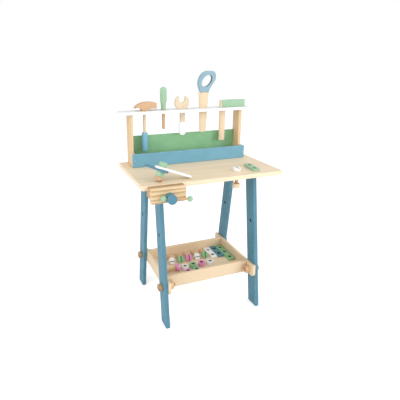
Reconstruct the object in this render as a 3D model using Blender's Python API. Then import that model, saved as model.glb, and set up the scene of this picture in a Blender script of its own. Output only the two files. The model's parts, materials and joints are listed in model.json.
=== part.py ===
"""A wooden toy workbench: a table on four splayed legs, a tray bolted between them, a tool rack, a vise,
five tools that hang in the rack, and loose bolts, nuts and strips.

Metres, +Z up. The front faces -Y and +X is to the right as a child standing there sees it. The origin is on
the floor under the middle of the bounding box. Every piece hangs under the empty "bench", whose own origin
is under the middle of the worktop.
"""

import math

import bmesh
import bpy
from mathutils import Matrix, Vector

# ---------------------------------------------------------------- driving dimensions
GAP = 0.0003  # left between pieces that touch
EASE = 0.0012  # rounding of a board's edges

TOP_WIDTH = 0.493
TOP_DEPTH = 0.300
TOP_THICK = 0.014
TOP_HEIGHT = 0.500
TOP_CORNER = 0.008

LEG_OUTER = 0.178  # half the width over the legs
LEG_THICK = 0.014
LEG_BREADTH = 0.050  # along Y, where the floor cuts it
LEG_TOP_REACH = 0.0946  # outer edge of a leg under the worktop, from the middle
LEG_FOOT_REACH = 0.1629  # the same on the floor
SPARE_HOLE_HEIGHT = 0.310

CLEAT_SIZE = 0.016
CLEAT_HALF_LENGTH = 0.088

TRAY_LOW = 0.1136
TRAY_HIGH = 0.158
TRAY_WALL = 0.010
TRAY_EAR_REACH = 0.1487
TRAY_EAR_ROUND = 0.012
TRAY_BOARD_REACH = 0.104  # outer face of the front and the rear board
TRAY_FLOOR_LOW = 0.1166
TRAY_FLOOR_THICK = 0.005
TRAY_BOLT_HEIGHT = 0.133

RACK_HALF_WIDTH = 0.217
RACK_SIDE_THICK = 0.012
POST_FRONT = 0.087
POST_REAR = 0.132
POST_TOP = 0.678
TROUGH_HEIGHT = 0.047
TROUGH_FRONT = 0.0577
TROUGH_BOARD_THICK = 0.009
BACK_PANEL_HEIGHT = 0.098
BACK_PANEL_THICK = 0.006
SHELF_HALF_WIDTH = 0.2516
SHELF_FRONT = 0.0762
SHELF_REAR = 0.1372
SHELF_THICK = 0.010

BOLT_RADIUS = 0.006  # the shaft of every toy bolt
BOLT_HOLE = 0.0067
HEAD_RADIUS = 0.0125
HEAD_THICK = 0.012
SLOT_WIDTH = 0.0026
SLOT_DEPTH = 0.003
NUT_APOTHEM = 0.012
NUT_THICK = 0.015
CHAMFER = 0.0012
STRIP_WIDTH = 0.025
STRIP_THICK = 0.007
STRIP_PITCH = 0.040
STRIP_CORNER = 0.004

VISE_LEFT = -0.229
VISE_RIGHT = -0.118
VISE_LOW = 0.452
VISE_TOP = 0.4992
FIXED_JAW_REAR = -0.137
FIXED_JAW_FRONT = -0.165
FIXED_JAW_CUT = 0.014
MOVING_JAW_THICK = 0.015
MOVING_JAW_EASE = 0.0035
VISE_AXIS_X = -0.172
VISE_AXIS_Z = 0.470
SCREW_HEAD_RADIUS = 0.0148
SCREW_HEAD_LENGTH = 0.0279
SPINDLE_RADIUS = 0.007
SPINDLE_END = -0.106
GUIDE_RADIUS = 0.004
SLIDING_FIT = 0.0005  # how much wider a guide's hole is, all round
GUIDE_SPACING = 0.038
BAR_RADIUS = 0.0038
BAR_PLAY = 0.0008  # how much wider the hole is than the bar, all round
BAR_TILT = math.radians(7.5)
BALL_RADIUS = 0.0087
FAR_BALL = 0.060  # from the screw's axis to the far ball's middle

TOOLS_Y = (SHELF_FRONT + SHELF_REAR) / 2
HAMMER_X = -0.1588
SCREWDRIVER_X = -0.0885
WRENCH_X = -0.0163
SAW_X = 0.0674
SQUARE_X = 0.1303
HAMMER_HOLE = 0.0115  # radii of the shelf's round holes
SCREWDRIVER_HOLE = 0.0065
WRENCH_SLOT = (WRENCH_X, 0.0290, 0.0115)  # middle, width and depth of the shelf's slots
SAW_SLOT = (SAW_X - 0.0017, 0.0319, 0.0080)
SQUARE_SLOT = (SQUARE_X + 0.0142, 0.0245, 0.0100)

TABLE_BOLT_X = 0.100
TABLE_BOLT_Y = -0.095
TABLE_BOLT_LENGTH = 0.058
TABLE_NUT_TOP = 0.4559
TABLE_STRIP_PLACE = (0.1625, -0.086)
TABLE_STRIP_HEADING = math.radians(83)
BUILD_X = -0.185
BUILD_Y = -0.117
BUILD_HEADING = math.radians(15)  # the way it leans, from +X
BUILD_WHITE_HEADING = math.radians(-15)  # of its strips, from the way it leans
BUILD_BLUE_HEADING = math.radians(110)
BUILD_BOLT_LENGTH = 0.044
TRAY_BOLT_LENGTH = 0.047
LOOSE_BOLT_LENGTH = 0.045
BOLT_ROW_Y = 0.034  # the heads of the row of loose bolts
CUTTER_REACH = 0.01  # how far a cutter stands out on either side

# ---------------------------------------------------------------- worked out from them
TOP_UNDER = TOP_HEIGHT - TOP_THICK
SHELF_TOP = POST_TOP + SHELF_THICK
TRAY_SIDE_OUTER = LEG_OUTER - LEG_THICK - GAP
TRAY_SIDE_INNER = TRAY_SIDE_OUTER - TRAY_WALL
TRAY_FLOOR_TOP = TRAY_FLOOR_LOW + TRAY_FLOOR_THICK
MOVING_JAW_FRONT = FIXED_JAW_FRONT - GAP - MOVING_JAW_THICK
SCREW_BACK = MOVING_JAW_FRONT - GAP
SCREW_FRONT = SCREW_BACK - SCREW_HEAD_LENGTH
BAR_Y = (SCREW_BACK + SCREW_FRONT) / 2
NEAR_BALL = SCREW_HEAD_RADIUS + BALL_RADIUS + GAP
BENCH_Y = (-SCREW_FRONT - LEG_FOOT_REACH) / 2  # centres the whole box on the origin

COLOURS = {
    "pine": (0.78, 0.60, 0.40),
    "birch": (0.83, 0.68, 0.48),
    "blue_paint": (0.13, 0.34, 0.46),
    "green_paint": (0.20, 0.43, 0.22),
    "mint_paint": (0.38, 0.66, 0.42),
    "white_paint": (0.86, 0.86, 0.84),
    "pink_paint": (0.66, 0.24, 0.46),
    "jaw_wood": (0.72, 0.50, 0.28),
    "beech": (0.66, 0.42, 0.22),
}


# ---------------------------------------------------------------- helpers
def clear_scene():
    """Removes every object that the scene starts with."""
    for old in list(bpy.data.objects):
        bpy.data.objects.remove(old, do_unlink=True)


def material(name, finish):
    """A Principled material named after the piece, in one of the finishes above."""
    made = bpy.data.materials.new(name)
    made.use_nodes = True
    shader = made.node_tree.nodes["Principled BSDF"]
    shader.inputs["Base Color"].default_value = (*COLOURS[finish], 1.0)
    shader.inputs["Roughness"].default_value = 0.45 if "paint" in finish else 0.6
    shader.inputs["Metallic"].default_value = 0.0
    made.diffuse_color = (*COLOURS[finish], 1.0)
    return made


def empty(name, place, parent=None, turn=(0.0, 0.0, 0.0)):
    made = bpy.data.objects.new(name, None)
    bpy.context.collection.objects.link(made)
    made.location = place
    made.rotation_euler = turn
    made.parent = parent
    return made


def keep(name, shape, finish, parent, place=(0.0, 0.0, 0.0), turn=(0.0, 0.0, 0.0)):
    """Turns a bmesh into a named object with its own material."""
    bmesh.ops.recalc_face_normals(shape, faces=shape.faces)
    mesh = bpy.data.meshes.new(name)
    shape.to_mesh(mesh)
    shape.free()
    mesh.materials.append(material(name, finish))
    made = bpy.data.objects.new(name, mesh)
    bpy.context.collection.objects.link(made)
    made.location = place
    made.rotation_euler = turn
    made.parent = parent
    return made


def hide_tool(tool):
    """A cutter or an added block stays out of the build."""
    tool.hide_render = True
    tool.display_type = "WIRE"


def combine(target, tool, operation):
    """Cuts the tool from the target, or joins it to the target."""
    hide_tool(tool)
    step = target.modifiers.new(tool.name, "BOOLEAN")
    step.operation = operation
    step.solver = "EXACT"
    step.object = tool


def ease_edges(piece, width, segments=2):
    """Rounds the sharp edges of a board."""
    rounding = piece.modifiers.new("eased edges", "BEVEL")
    rounding.width = width
    rounding.segments = segments
    rounding.limit_method = "ANGLE"
    rounding.angle_limit = math.radians(35)


def smooth(piece, angle=35.0):
    piece.data.shade_smooth()
    piece.data.set_sharp_from_angle(angle=math.radians(angle))


def prism(outline, axis, low, high):
    """A bmesh: a flat outline carried along X, Y or Z from low to high.

    The outline's two numbers are the other two coordinates, in the order X, Y, Z.
    """
    shape = bmesh.new()
    corners = []
    for first, second in outline:
        spot = {"X": (low, first, second), "Y": (first, low, second), "Z": (first, second, low)}[axis]
        corners.append(shape.verts.new(spot))
    face = shape.faces.new(corners)
    raised = bmesh.ops.extrude_face_region(shape, geom=[face])["geom"]
    step = Vector([high - low if letter == axis else 0.0 for letter in "XYZ"])
    bmesh.ops.translate(shape, verts=[v for v in raised if isinstance(v, bmesh.types.BMVert)], vec=step)
    return shape


def rectangle(left, right, low, high):
    return [(left, low), (right, low), (right, high), (left, high)]


def arc(middle, radius, start, stop, steps):
    """Points on a circle from one angle to another, in degrees, both ends included."""
    points = []
    for k in range(steps + 1):
        angle = math.radians(start + (stop - start) * k / steps)
        points.append((middle[0] + radius * math.cos(angle), middle[1] + radius * math.sin(angle)))
    return points


def ellipse(middle, long_half, short_half, tilt, steps):
    """Points on an ellipse whose long axis is tilted by so many degrees."""
    points = []
    lean = math.radians(tilt)
    for k in range(steps):
        angle = 2 * math.pi * k / steps
        along = long_half * math.cos(angle)
        across = short_half * math.sin(angle)
        points.append(
            (
                middle[0] + along * math.cos(lean) - across * math.sin(lean),
                middle[1] + along * math.sin(lean) + across * math.cos(lean),
            )
        )
    return points


def bend(start, pull_a, pull_b, stop, steps):
    """Points on a cubic curve, without its first one."""
    points = []
    for k in range(1, steps + 1):
        t = k / steps
        weights = ((1 - t) ** 3, 3 * t * (1 - t) ** 2, 3 * t * t * (1 - t), t**3)
        corners = (start, pull_a, pull_b, stop)
        x = sum(w * p[0] for w, p in zip(weights, corners))
        y = sum(w * p[1] for w, p in zip(weights, corners))
        points.append((x, y))
    return points


def rounded_rectangle(left, right, low, high, radius, steps=4):
    points = arc((right - radius, low + radius), radius, -90, 0, steps)
    points += arc((right - radius, high - radius), radius, 0, 90, steps)
    points += arc((left + radius, high - radius), radius, 90, 180, steps)
    points += arc((left + radius, low + radius), radius, 180, 270, steps)
    return points


def board(name, box, finish, parent, ease=EASE):
    """A board with eased edges, filling (x0, x1), (y0, y1), (z0, z1)."""
    (x0, x1), (y0, y1), (z0, z1) = box
    piece = keep(name, prism(rectangle(x0, x1, y0, y1), "Z", z0, z1), finish, parent)
    ease_edges(piece, ease)
    return piece


def outline_at(kind, radius, angle):
    """The radius of a section at an angle: round, six-sided (radius is then the apothem) or fluted."""
    if kind == "hex":
        return radius / math.cos((angle + math.pi / 6) % (math.pi / 3) - math.pi / 6)
    if kind == "fluted":
        return radius * (1 - 0.05 * (1 - math.cos(8 * angle)) / 2)
    return radius


def turned(rings, sides=18, hollow=False):
    """A bmesh: sections (radius, height, kind) joined in order round Z.

    A solid piece is closed at both ends. A hollow one is a closed loop of sections, like a nut's.
    """
    shape = bmesh.new()
    loops = []
    for radius, height, kind in rings:
        loop = []
        for k in range(sides):
            angle = 2 * math.pi * k / sides
            reach = outline_at(kind, radius, angle)
            loop.append(shape.verts.new((reach * math.cos(angle), reach * math.sin(angle), height)))
        loops.append(loop)
    pairs = list(zip(loops, loops[1:]))
    if hollow:
        pairs.append((loops[-1], loops[0]))
    for lower, upper in pairs:
        for k in range(sides):
            after = (k + 1) % sides
            shape.faces.new((lower[k], lower[after], upper[after], upper[k]))
    if not hollow:
        shape.faces.new(list(reversed(loops[0])))
        shape.faces.new(loops[-1])
    return shape


def along(axis):
    """The rotation that carries local +Z to a world axis."""
    turns = {
        "+X": (0, math.pi / 2, 0),
        "-X": (0, -math.pi / 2, 0),
        "+Y": (-math.pi / 2, 0, 0),
        "-Y": (math.pi / 2, 0, 0),
        "+Z": (0, 0, 0),
        "-Z": (math.pi, 0, 0),
    }
    return turns[axis]


def drill(piece, place, axis, radius, length, parent, sides=16):
    """A round hole that starts at place and runs along axis."""
    rod = turned([(radius, 0.0, "round"), (radius, length, "round")], sides)
    tool = keep(piece.name + " drill", rod, "pine", parent, place, along(axis))
    combine(piece, tool, "DIFFERENCE")


def mill(piece, outline, axis, low, high, parent):
    """A slot with the outline's section, cut along axis."""
    tool = keep(piece.name + " mill", prism(outline, axis, low, high), "pine", parent)
    combine(piece, tool, "DIFFERENCE")


# ---------------------------------------------------------------- the table
def make_worktop(bench):
    outline = rounded_rectangle(-TOP_WIDTH / 2, TOP_WIDTH / 2, -TOP_DEPTH / 2, TOP_DEPTH / 2, TOP_CORNER)
    piece = keep("worktop", prism(outline, "Z", TOP_UNDER, TOP_HEIGHT), "birch", bench)
    ease_edges(piece, EASE)
    below = (TABLE_BOLT_X, TABLE_BOLT_Y, TOP_UNDER - CUTTER_REACH)
    drill(piece, below, "+Z", BOLT_HOLE, TOP_THICK + 2 * CUTTER_REACH, bench)


def leg_middle(height):
    """How far forward or back the middle of a leg stands at a height."""
    share = (TOP_UNDER - height) / TOP_UNDER
    return LEG_TOP_REACH + (LEG_FOOT_REACH - LEG_TOP_REACH) * share - LEG_BREADTH / 2


def make_leg(name, side, end, bench):
    """A splayed board. side is -1 on the left, end is -1 at the front."""
    top = TOP_UNDER - GAP
    half = LEG_BREADTH / 2
    outline = [
        (end * leg_middle(0.0) - half, 0.0),
        (end * leg_middle(0.0) + half, 0.0),
        (end * leg_middle(top) + half, top),
        (end * leg_middle(top) - half, top),
    ]
    inner = side * (LEG_OUTER - LEG_THICK)
    outer = side * LEG_OUTER
    piece = keep(name, prism(outline, "X", min(inner, outer), max(inner, outer)), "blue_paint", bench)
    ease_edges(piece, EASE)
    for height in (TRAY_BOLT_HEIGHT, SPARE_HOLE_HEIGHT):
        start = (min(inner, outer) - 0.01, end * leg_middle(height), height)
        drill(piece, start, "+X", BOLT_HOLE, LEG_THICK + 0.02, bench)


def make_cleat(name, side, bench):
    """The batten that the leg tops are screwed to, under the worktop."""
    outer = LEG_OUTER - LEG_THICK - GAP
    edges = sorted((side * (outer - CLEAT_SIZE), side * outer))
    reach = (-CLEAT_HALF_LENGTH, CLEAT_HALF_LENGTH)
    board(name, (edges, reach, (TOP_UNDER - GAP - CLEAT_SIZE, TOP_UNDER - GAP)), "pine", bench)


# ---------------------------------------------------------------- the tray
def make_tray_side(name, side, bench):
    r = TRAY_EAR_ROUND
    reach = TRAY_EAR_REACH
    outline = [(-reach, TRAY_HIGH)]
    outline += arc((-reach + r, TRAY_LOW + r), r, 180, 270, 4)
    outline += arc((reach - r, TRAY_LOW + r), r, 270, 360, 4)
    outline.append((reach, TRAY_HIGH))
    low, high = sorted((side * TRAY_SIDE_INNER, side * TRAY_SIDE_OUTER))
    piece = keep(name, prism(outline, "X", low, high), "pine", bench)
    ease_edges(piece, EASE)
    for end in (-1, 1):
        start = (low - CUTTER_REACH, end * leg_middle(TRAY_BOLT_HEIGHT), TRAY_BOLT_HEIGHT)
        drill(piece, start, "+X", BOLT_HOLE, TRAY_WALL + 2 * CUTTER_REACH, bench)


def make_tray(bench):
    for side, word in ((-1, "left"), (1, "right")):
        make_tray_side("tray_side_" + word, side, bench)
    across = (-TRAY_SIDE_INNER + GAP, TRAY_SIDE_INNER - GAP)
    inner = TRAY_BOARD_REACH - TRAY_WALL
    for end, word in ((-1, "front"), (1, "rear")):
        deep = sorted((end * inner, end * TRAY_BOARD_REACH))
        board("tray_board_" + word, (across, deep, (TRAY_LOW, TRAY_HIGH)), "pine", bench)
    deep = (-inner + GAP, inner - GAP)
    board("tray_floor", (across, deep, (TRAY_FLOOR_LOW, TRAY_FLOOR_TOP)), "birch", bench, 0.0004)


# ---------------------------------------------------------------- bolts, nuts and strips
def make_bolt(name, length, head_kind, finish, parent, place, turn, head_radius=HEAD_RADIUS):
    """A toy bolt with a slotted head. Its shaft runs from its origin along local +Z."""
    wide = head_radius if head_kind == "round" else head_radius * 0.93
    rings = [
        (wide - CHAMFER, -HEAD_THICK, head_kind),
        (wide, -HEAD_THICK + CHAMFER, head_kind),
        (wide, -CHAMFER, head_kind),
        (wide - CHAMFER, 0.0, head_kind),
        (BOLT_RADIUS, 0.0, "round"),
        (BOLT_RADIUS, length - CHAMFER, "round"),
        (BOLT_RADIUS - CHAMFER, length, "round"),
    ]
    piece = keep(name, turned(rings, 18), finish, parent, place, turn)
    smooth(piece)
    half = SLOT_WIDTH / 2
    slot = prism(rectangle(-half, half, -0.02, 0.02), "Z", -HEAD_THICK - 0.005, -HEAD_THICK + SLOT_DEPTH)
    combine(piece, keep(name + " slot", slot, finish, parent, place, turn), "DIFFERENCE")
    return piece


def make_nut(name, finish, parent, place, turn):
    """A six-sided nut that stands on its origin, with its hole along local Z."""
    rings = [
        (BOLT_HOLE, 0.0, "round"),
        (NUT_APOTHEM - CHAMFER, 0.0, "hex"),
        (NUT_APOTHEM, CHAMFER, "hex"),
        (NUT_APOTHEM, NUT_THICK - CHAMFER, "hex"),
        (NUT_APOTHEM - CHAMFER, NUT_THICK, "hex"),
        (BOLT_HOLE, NUT_THICK, "round"),
    ]
    piece = keep(name, turned(rings, 12, hollow=True), finish, parent, place, turn)
    smooth(piece)
    return piece


def make_strip(name, holes, finish, parent, place, turn, first_at_origin=False):
    """A flat strip with a row of holes along local X, standing on its origin's height."""
    length = holes * STRIP_PITCH
    left = -STRIP_PITCH / 2 if first_at_origin else -length / 2
    half = STRIP_WIDTH / 2
    outline = rounded_rectangle(left, left + length, -half, half, STRIP_CORNER, 2)
    piece = keep(name, prism(outline, "Z", 0.0, STRIP_THICK), finish, parent, place, turn)
    ease_edges(piece, 0.0008, 1)
    for k in range(holes):
        ends = (-CUTTER_REACH, STRIP_THICK + CUTTER_REACH)
        rod = turned([(BOLT_HOLE, end, "round") for end in ends], 16)
        bmesh.ops.translate(rod, verts=rod.verts, vec=(left + (k + 0.5) * STRIP_PITCH, 0.0, 0.0))
        tool = keep(name + " hole", rod, finish, parent, place, turn)
        combine(piece, tool, "DIFFERENCE")
    return piece


def make_tray_bolts(bench):
    for side, word in ((-1, "left"), (1, "right")):
        into = "+X" if side < 0 else "-X"
        for end, where in ((-1, "front"), (1, "rear")):
            across = end * leg_middle(TRAY_BOLT_HEIGHT)
            place = (side * (LEG_OUTER + GAP), across, TRAY_BOLT_HEIGHT)
            name = f"{where}_{word}"
            make_bolt("tray_bolt_" + name, TRAY_BOLT_LENGTH, "round", "beech", bench, place, along(into))
            place = (side * (TRAY_SIDE_INNER - GAP), across, TRAY_BOLT_HEIGHT)
            make_nut("tray_nut_" + name, "pine", bench, place, along(into))


def make_table_pieces(bench):
    """The bolt through the worktop with its nut, and a strip that lies beside it."""
    place = (TABLE_BOLT_X, TABLE_BOLT_Y, TOP_HEIGHT + GAP)
    make_bolt("table_bolt", TABLE_BOLT_LENGTH, "hex", "white_paint", bench, place, along("-Z"))
    place = (TABLE_BOLT_X, TABLE_BOLT_Y, TABLE_NUT_TOP - NUT_THICK)
    make_nut("table_nut", "birch", bench, place, along("+Z"))
    place = (*TABLE_STRIP_PLACE, TOP_HEIGHT + GAP)
    make_strip("table_strip", 2, "mint_paint", bench, place, (0, 0, TABLE_STRIP_HEADING))


def make_build(bench):
    """A bolt, two nuts and two strips put together, leaning until the long strip meets the top."""
    lower_nut = HEAD_THICK + GAP
    lower_strip = lower_nut + NUT_THICK + GAP
    upper_strip = lower_strip + STRIP_THICK + GAP
    upper_nut = upper_strip + STRIP_THICK + GAP
    reach = 2.5 * STRIP_PITCH  # from the bolt to the long strip's tip
    lean = math.atan(upper_strip / (reach - HEAD_RADIUS))
    foot = (BUILD_X, BUILD_Y, TOP_HEIGHT + GAP + HEAD_RADIUS * math.sin(lean))
    stand = empty("build_axis", foot, bench, (0, lean, BUILD_HEADING))
    place = (0, 0, HEAD_THICK)
    make_bolt("build_bolt", BUILD_BOLT_LENGTH, "round", "beech", stand, place, along("+Z"))
    make_nut("build_nut_lower", "mint_paint", stand, (0, 0, lower_nut), (0, 0, math.radians(20)))
    turn = (0, 0, BUILD_BLUE_HEADING)
    make_strip("build_strip_blue", 2, "blue_paint", stand, (0, 0, lower_strip), turn, True)
    turn = (0, 0, BUILD_WHITE_HEADING)
    make_strip("build_strip_white", 3, "white_paint", stand, (0, 0, upper_strip), turn, True)
    make_nut("build_nut_upper", "mint_paint", stand, (0, 0, upper_nut), (0, 0, math.radians(5)))


def make_lying_bolt(name, x, y, heading, head_kind, finish, bench):
    """A bolt lying on the tray's floor. heading is where its shaft points, in degrees from +X."""
    rest = HEAD_RADIUS if head_kind == "round" else HEAD_RADIUS * 0.93
    droop = math.atan((rest - BOLT_RADIUS) / LOOSE_BOLT_LENGTH)
    height = TRAY_FLOOR_TOP + GAP + rest * math.cos(droop)
    axis = empty(name + "_axis", (x, y, height), bench, (0, math.pi / 2 + droop, math.radians(heading)))
    spin = math.pi / 2 if head_kind == "round" else 0.0  # stands the round heads' slots upright
    make_bolt(name, LOOSE_BOLT_LENGTH, head_kind, finish, axis, (0, 0, 0), (0, 0, spin))


def make_tray_pieces(bench):
    """Five bolts in a row with their heads to the front, one more lying across, and three strips."""
    row = (
        ("white_1", -0.0863, "hex", "white_paint"),
        ("green_1", -0.0516, "round", "green_paint"),
        ("pink_1", -0.0186, "round", "pink_paint"),
        ("white_2", 0.0156, "hex", "white_paint"),
        ("green_2", 0.0486, "round", "green_paint"),
    )
    for word, x, kind, finish in row:
        make_lying_bolt("loose_bolt_" + word, x, BOLT_ROW_Y, 90, kind, finish, bench)
    make_lying_bolt("loose_bolt_pink_2", -0.090, -0.024, 180, "round", "pink_paint", bench)
    lie = TRAY_FLOOR_TOP + GAP
    strips = (
        ("white", 2, 0.0835, 0.0500, 90, "white_paint"),
        ("blue", 2, 0.1110, 0.0505, 90, "blue_paint"),
        ("green", 3, 0.1378, 0.0322, 90, "green_paint"),
    )
    for word, holes, x, y, heading, finish in strips:
        turn = (0, 0, math.radians(heading))
        make_strip("loose_strip_" + word, holes, finish, bench, (x, y, lie), turn)


# ---------------------------------------------------------------- the tool rack
def make_rack_side(name, side, bench):
    """A post with a foot that reaches forward to carry the trough's front board."""
    base = TOP_HEIGHT + GAP
    foot_front = TROUGH_FRONT + TROUGH_BOARD_THICK + GAP
    foot_top = TOP_HEIGHT + TROUGH_HEIGHT
    outline = [
        (foot_front, base),
        (POST_REAR, base),
        (POST_REAR, POST_TOP - GAP),
        (POST_FRONT, POST_TOP - GAP),
        (POST_FRONT, foot_top),
        (foot_front, foot_top),
    ]
    low, high = sorted((side * (RACK_HALF_WIDTH - RACK_SIDE_THICK), side * RACK_HALF_WIDTH))
    piece = keep(name, prism(outline, "X", low, high), "pine", bench)
    ease_edges(piece, EASE)


def slot_outline(middle, width, depth):
    half = width / 2
    return rounded_rectangle(middle - half, middle + half, TOOLS_Y - depth / 2, TOOLS_Y + depth / 2, 0.002, 2)


def make_shelf(bench):
    outline = rounded_rectangle(-SHELF_HALF_WIDTH, SHELF_HALF_WIDTH, SHELF_FRONT, SHELF_REAR, 0.003, 2)
    piece = keep("rack_shelf", prism(outline, "Z", POST_TOP, SHELF_TOP), "white_paint", bench)
    ease_edges(piece, EASE)
    below = POST_TOP - CUTTER_REACH
    above = SHELF_TOP + CUTTER_REACH
    drill(piece, (HAMMER_X, TOOLS_Y, below), "+Z", HAMMER_HOLE, above - below, bench, 20)
    drill(piece, (SCREWDRIVER_X, TOOLS_Y, below), "+Z", SCREWDRIVER_HOLE, above - below, bench)
    for middle, width, depth in (WRENCH_SLOT, SAW_SLOT, SQUARE_SLOT):
        mill(piece, slot_outline(middle, width, depth), "Z", below, above, bench)


def make_rack(bench):
    for side, word in ((-1, "left"), (1, "right")):
        make_rack_side("rack_side_" + word, side, bench)
    base = TOP_HEIGHT + GAP
    inner = RACK_HALF_WIDTH - RACK_SIDE_THICK - GAP
    deep = (POST_REAR - BACK_PANEL_THICK, POST_REAR)
    high = (base, TOP_HEIGHT + BACK_PANEL_HEIGHT)
    board("rack_back_panel", ((-inner, inner), deep, high), "green_paint", bench, 0.0008)
    wide = (-RACK_HALF_WIDTH, RACK_HALF_WIDTH)
    deep = (TROUGH_FRONT, TROUGH_FRONT + TROUGH_BOARD_THICK)
    board("trough_front_board", (wide, deep, (base, TOP_HEIGHT + TROUGH_HEIGHT)), "blue_paint", bench)
    make_shelf(bench)


# ---------------------------------------------------------------- the vise
def make_fixed_jaw(bench):
    """A block under the worktop's front edge, with a rebate that the worktop sits in."""
    cut = FIXED_JAW_CUT
    outline = [
        (VISE_LEFT + cut, VISE_LOW),
        (VISE_RIGHT - cut, VISE_LOW),
        (VISE_RIGHT, VISE_LOW + cut),
        (VISE_RIGHT, VISE_TOP),
        (VISE_LEFT, VISE_TOP),
        (VISE_LEFT, VISE_LOW + cut),
    ]
    piece = keep("vise_fixed_jaw", prism(outline, "Y", FIXED_JAW_FRONT, FIXED_JAW_REAR), "jaw_wood", bench)
    ease_edges(piece, EASE)
    corner = rectangle(-TOP_DEPTH / 2 - GAP, 0.0, TOP_UNDER - GAP, TOP_HEIGHT + 0.05)
    mill(piece, corner, "X", VISE_LEFT - CUTTER_REACH, VISE_RIGHT + CUTTER_REACH, bench)
    length = FIXED_JAW_REAR - FIXED_JAW_FRONT + 2 * CUTTER_REACH
    start = FIXED_JAW_FRONT - CUTTER_REACH
    drill(piece, (VISE_AXIS_X, start, VISE_AXIS_Z), "+Y", SPINDLE_RADIUS + SLIDING_FIT, length, bench)
    for side in (-1, 1):
        place = (VISE_AXIS_X + side * GUIDE_SPACING, start, VISE_AXIS_Z)
        drill(piece, place, "+Y", GUIDE_RADIUS + SLIDING_FIT, length, bench)


def make_moving_jaw(bench):
    back = FIXED_JAW_FRONT - GAP
    wide = (VISE_LEFT, VISE_RIGHT)
    box = (wide, (MOVING_JAW_FRONT, back), (VISE_LOW, VISE_TOP))
    piece = board("vise_moving_jaw", box, "jaw_wood", bench, MOVING_JAW_EASE)
    start = MOVING_JAW_FRONT - CUTTER_REACH
    length = MOVING_JAW_THICK + 2 * CUTTER_REACH
    drill(piece, (VISE_AXIS_X, start, VISE_AXIS_Z), "+Y", SPINDLE_RADIUS + SLIDING_FIT, length, bench)
    for side, word in ((-1, "left"), (1, "right")):
        x = VISE_AXIS_X + side * GUIDE_SPACING
        socket = MOVING_JAW_THICK * 0.6
        start_of_socket = (x, back + CUTTER_REACH, VISE_AXIS_Z)
        drill(piece, start_of_socket, "-Y", GUIDE_RADIUS + GAP, socket + CUTTER_REACH, bench)
        length = SPINDLE_END - back + socket - GAP
        tip = (GUIDE_RADIUS - 0.0008, length, "round")
        rings = [(GUIDE_RADIUS, 0.0, "round"), (GUIDE_RADIUS, length - 0.0008, "round"), tip]
        place = (x, back - socket + GAP, VISE_AXIS_Z)
        rod = keep("vise_guide_rod_" + word, turned(rings, 16), "birch", bench, place, along("+Y"))
        smooth(rod)


def make_screw(bench):
    """The spindle and its thick blue head, with the hole that the cross bar slides in."""
    edge = 0.0015
    length = SPINDLE_END - SCREW_BACK
    rings = [
        (SCREW_HEAD_RADIUS - edge, -SCREW_HEAD_LENGTH, "round"),
        (SCREW_HEAD_RADIUS, -SCREW_HEAD_LENGTH + edge, "round"),
        (SCREW_HEAD_RADIUS, -edge, "round"),
        (SCREW_HEAD_RADIUS - edge, 0.0, "round"),
        (SPINDLE_RADIUS, 0.0, "round"),
        (SPINDLE_RADIUS, length - edge, "round"),
        (SPINDLE_RADIUS - edge, length, "round"),
    ]
    place = (VISE_AXIS_X, SCREW_BACK, VISE_AXIS_Z)
    piece = keep("vise_screw", turned(rings, 24), "blue_paint", bench, place, along("+Y"))
    smooth(piece)
    axis = empty("vise_bar_axis", (VISE_AXIS_X, BAR_Y, VISE_AXIS_Z), bench, (0, math.pi / 2 + BAR_TILT, 0))
    reach = 2 * SCREW_HEAD_RADIUS
    drill(piece, (0, 0, -reach), "+Z", BAR_RADIUS + BAR_PLAY, 2 * reach, axis)
    socket = 0.005
    low = -NEAR_BALL + BALL_RADIUS - socket
    high = FAR_BALL - BALL_RADIUS + socket
    rod = turned([(BAR_RADIUS, low, "round"), (BAR_RADIUS, high, "round")], 16)
    smooth(keep("vise_bar", rod, "birch", axis))
    for word, middle, side in (("left", -NEAR_BALL, 1), ("right", FAR_BALL, -1)):
        make_ball("vise_ball_" + word, middle, side, socket, axis)


def make_ball(name, middle, side, socket, axis):
    """A ball with a blind hole that the end of the bar is glued into."""
    shape = bmesh.new()
    poles = Matrix.Rotation(math.pi / 2, 4, "Y")
    bmesh.ops.create_uvsphere(shape, u_segments=16, v_segments=9, radius=BALL_RADIUS, matrix=poles)
    piece = keep(name, shape, "mint_paint", axis, (0, 0, middle))
    smooth(piece)
    depth = socket + GAP
    place = (0, 0, middle + side * (BALL_RADIUS + CUTTER_REACH))
    drill(piece, place, "-Z" if side > 0 else "+Z", BAR_RADIUS + GAP, depth + CUTTER_REACH, axis)


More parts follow.
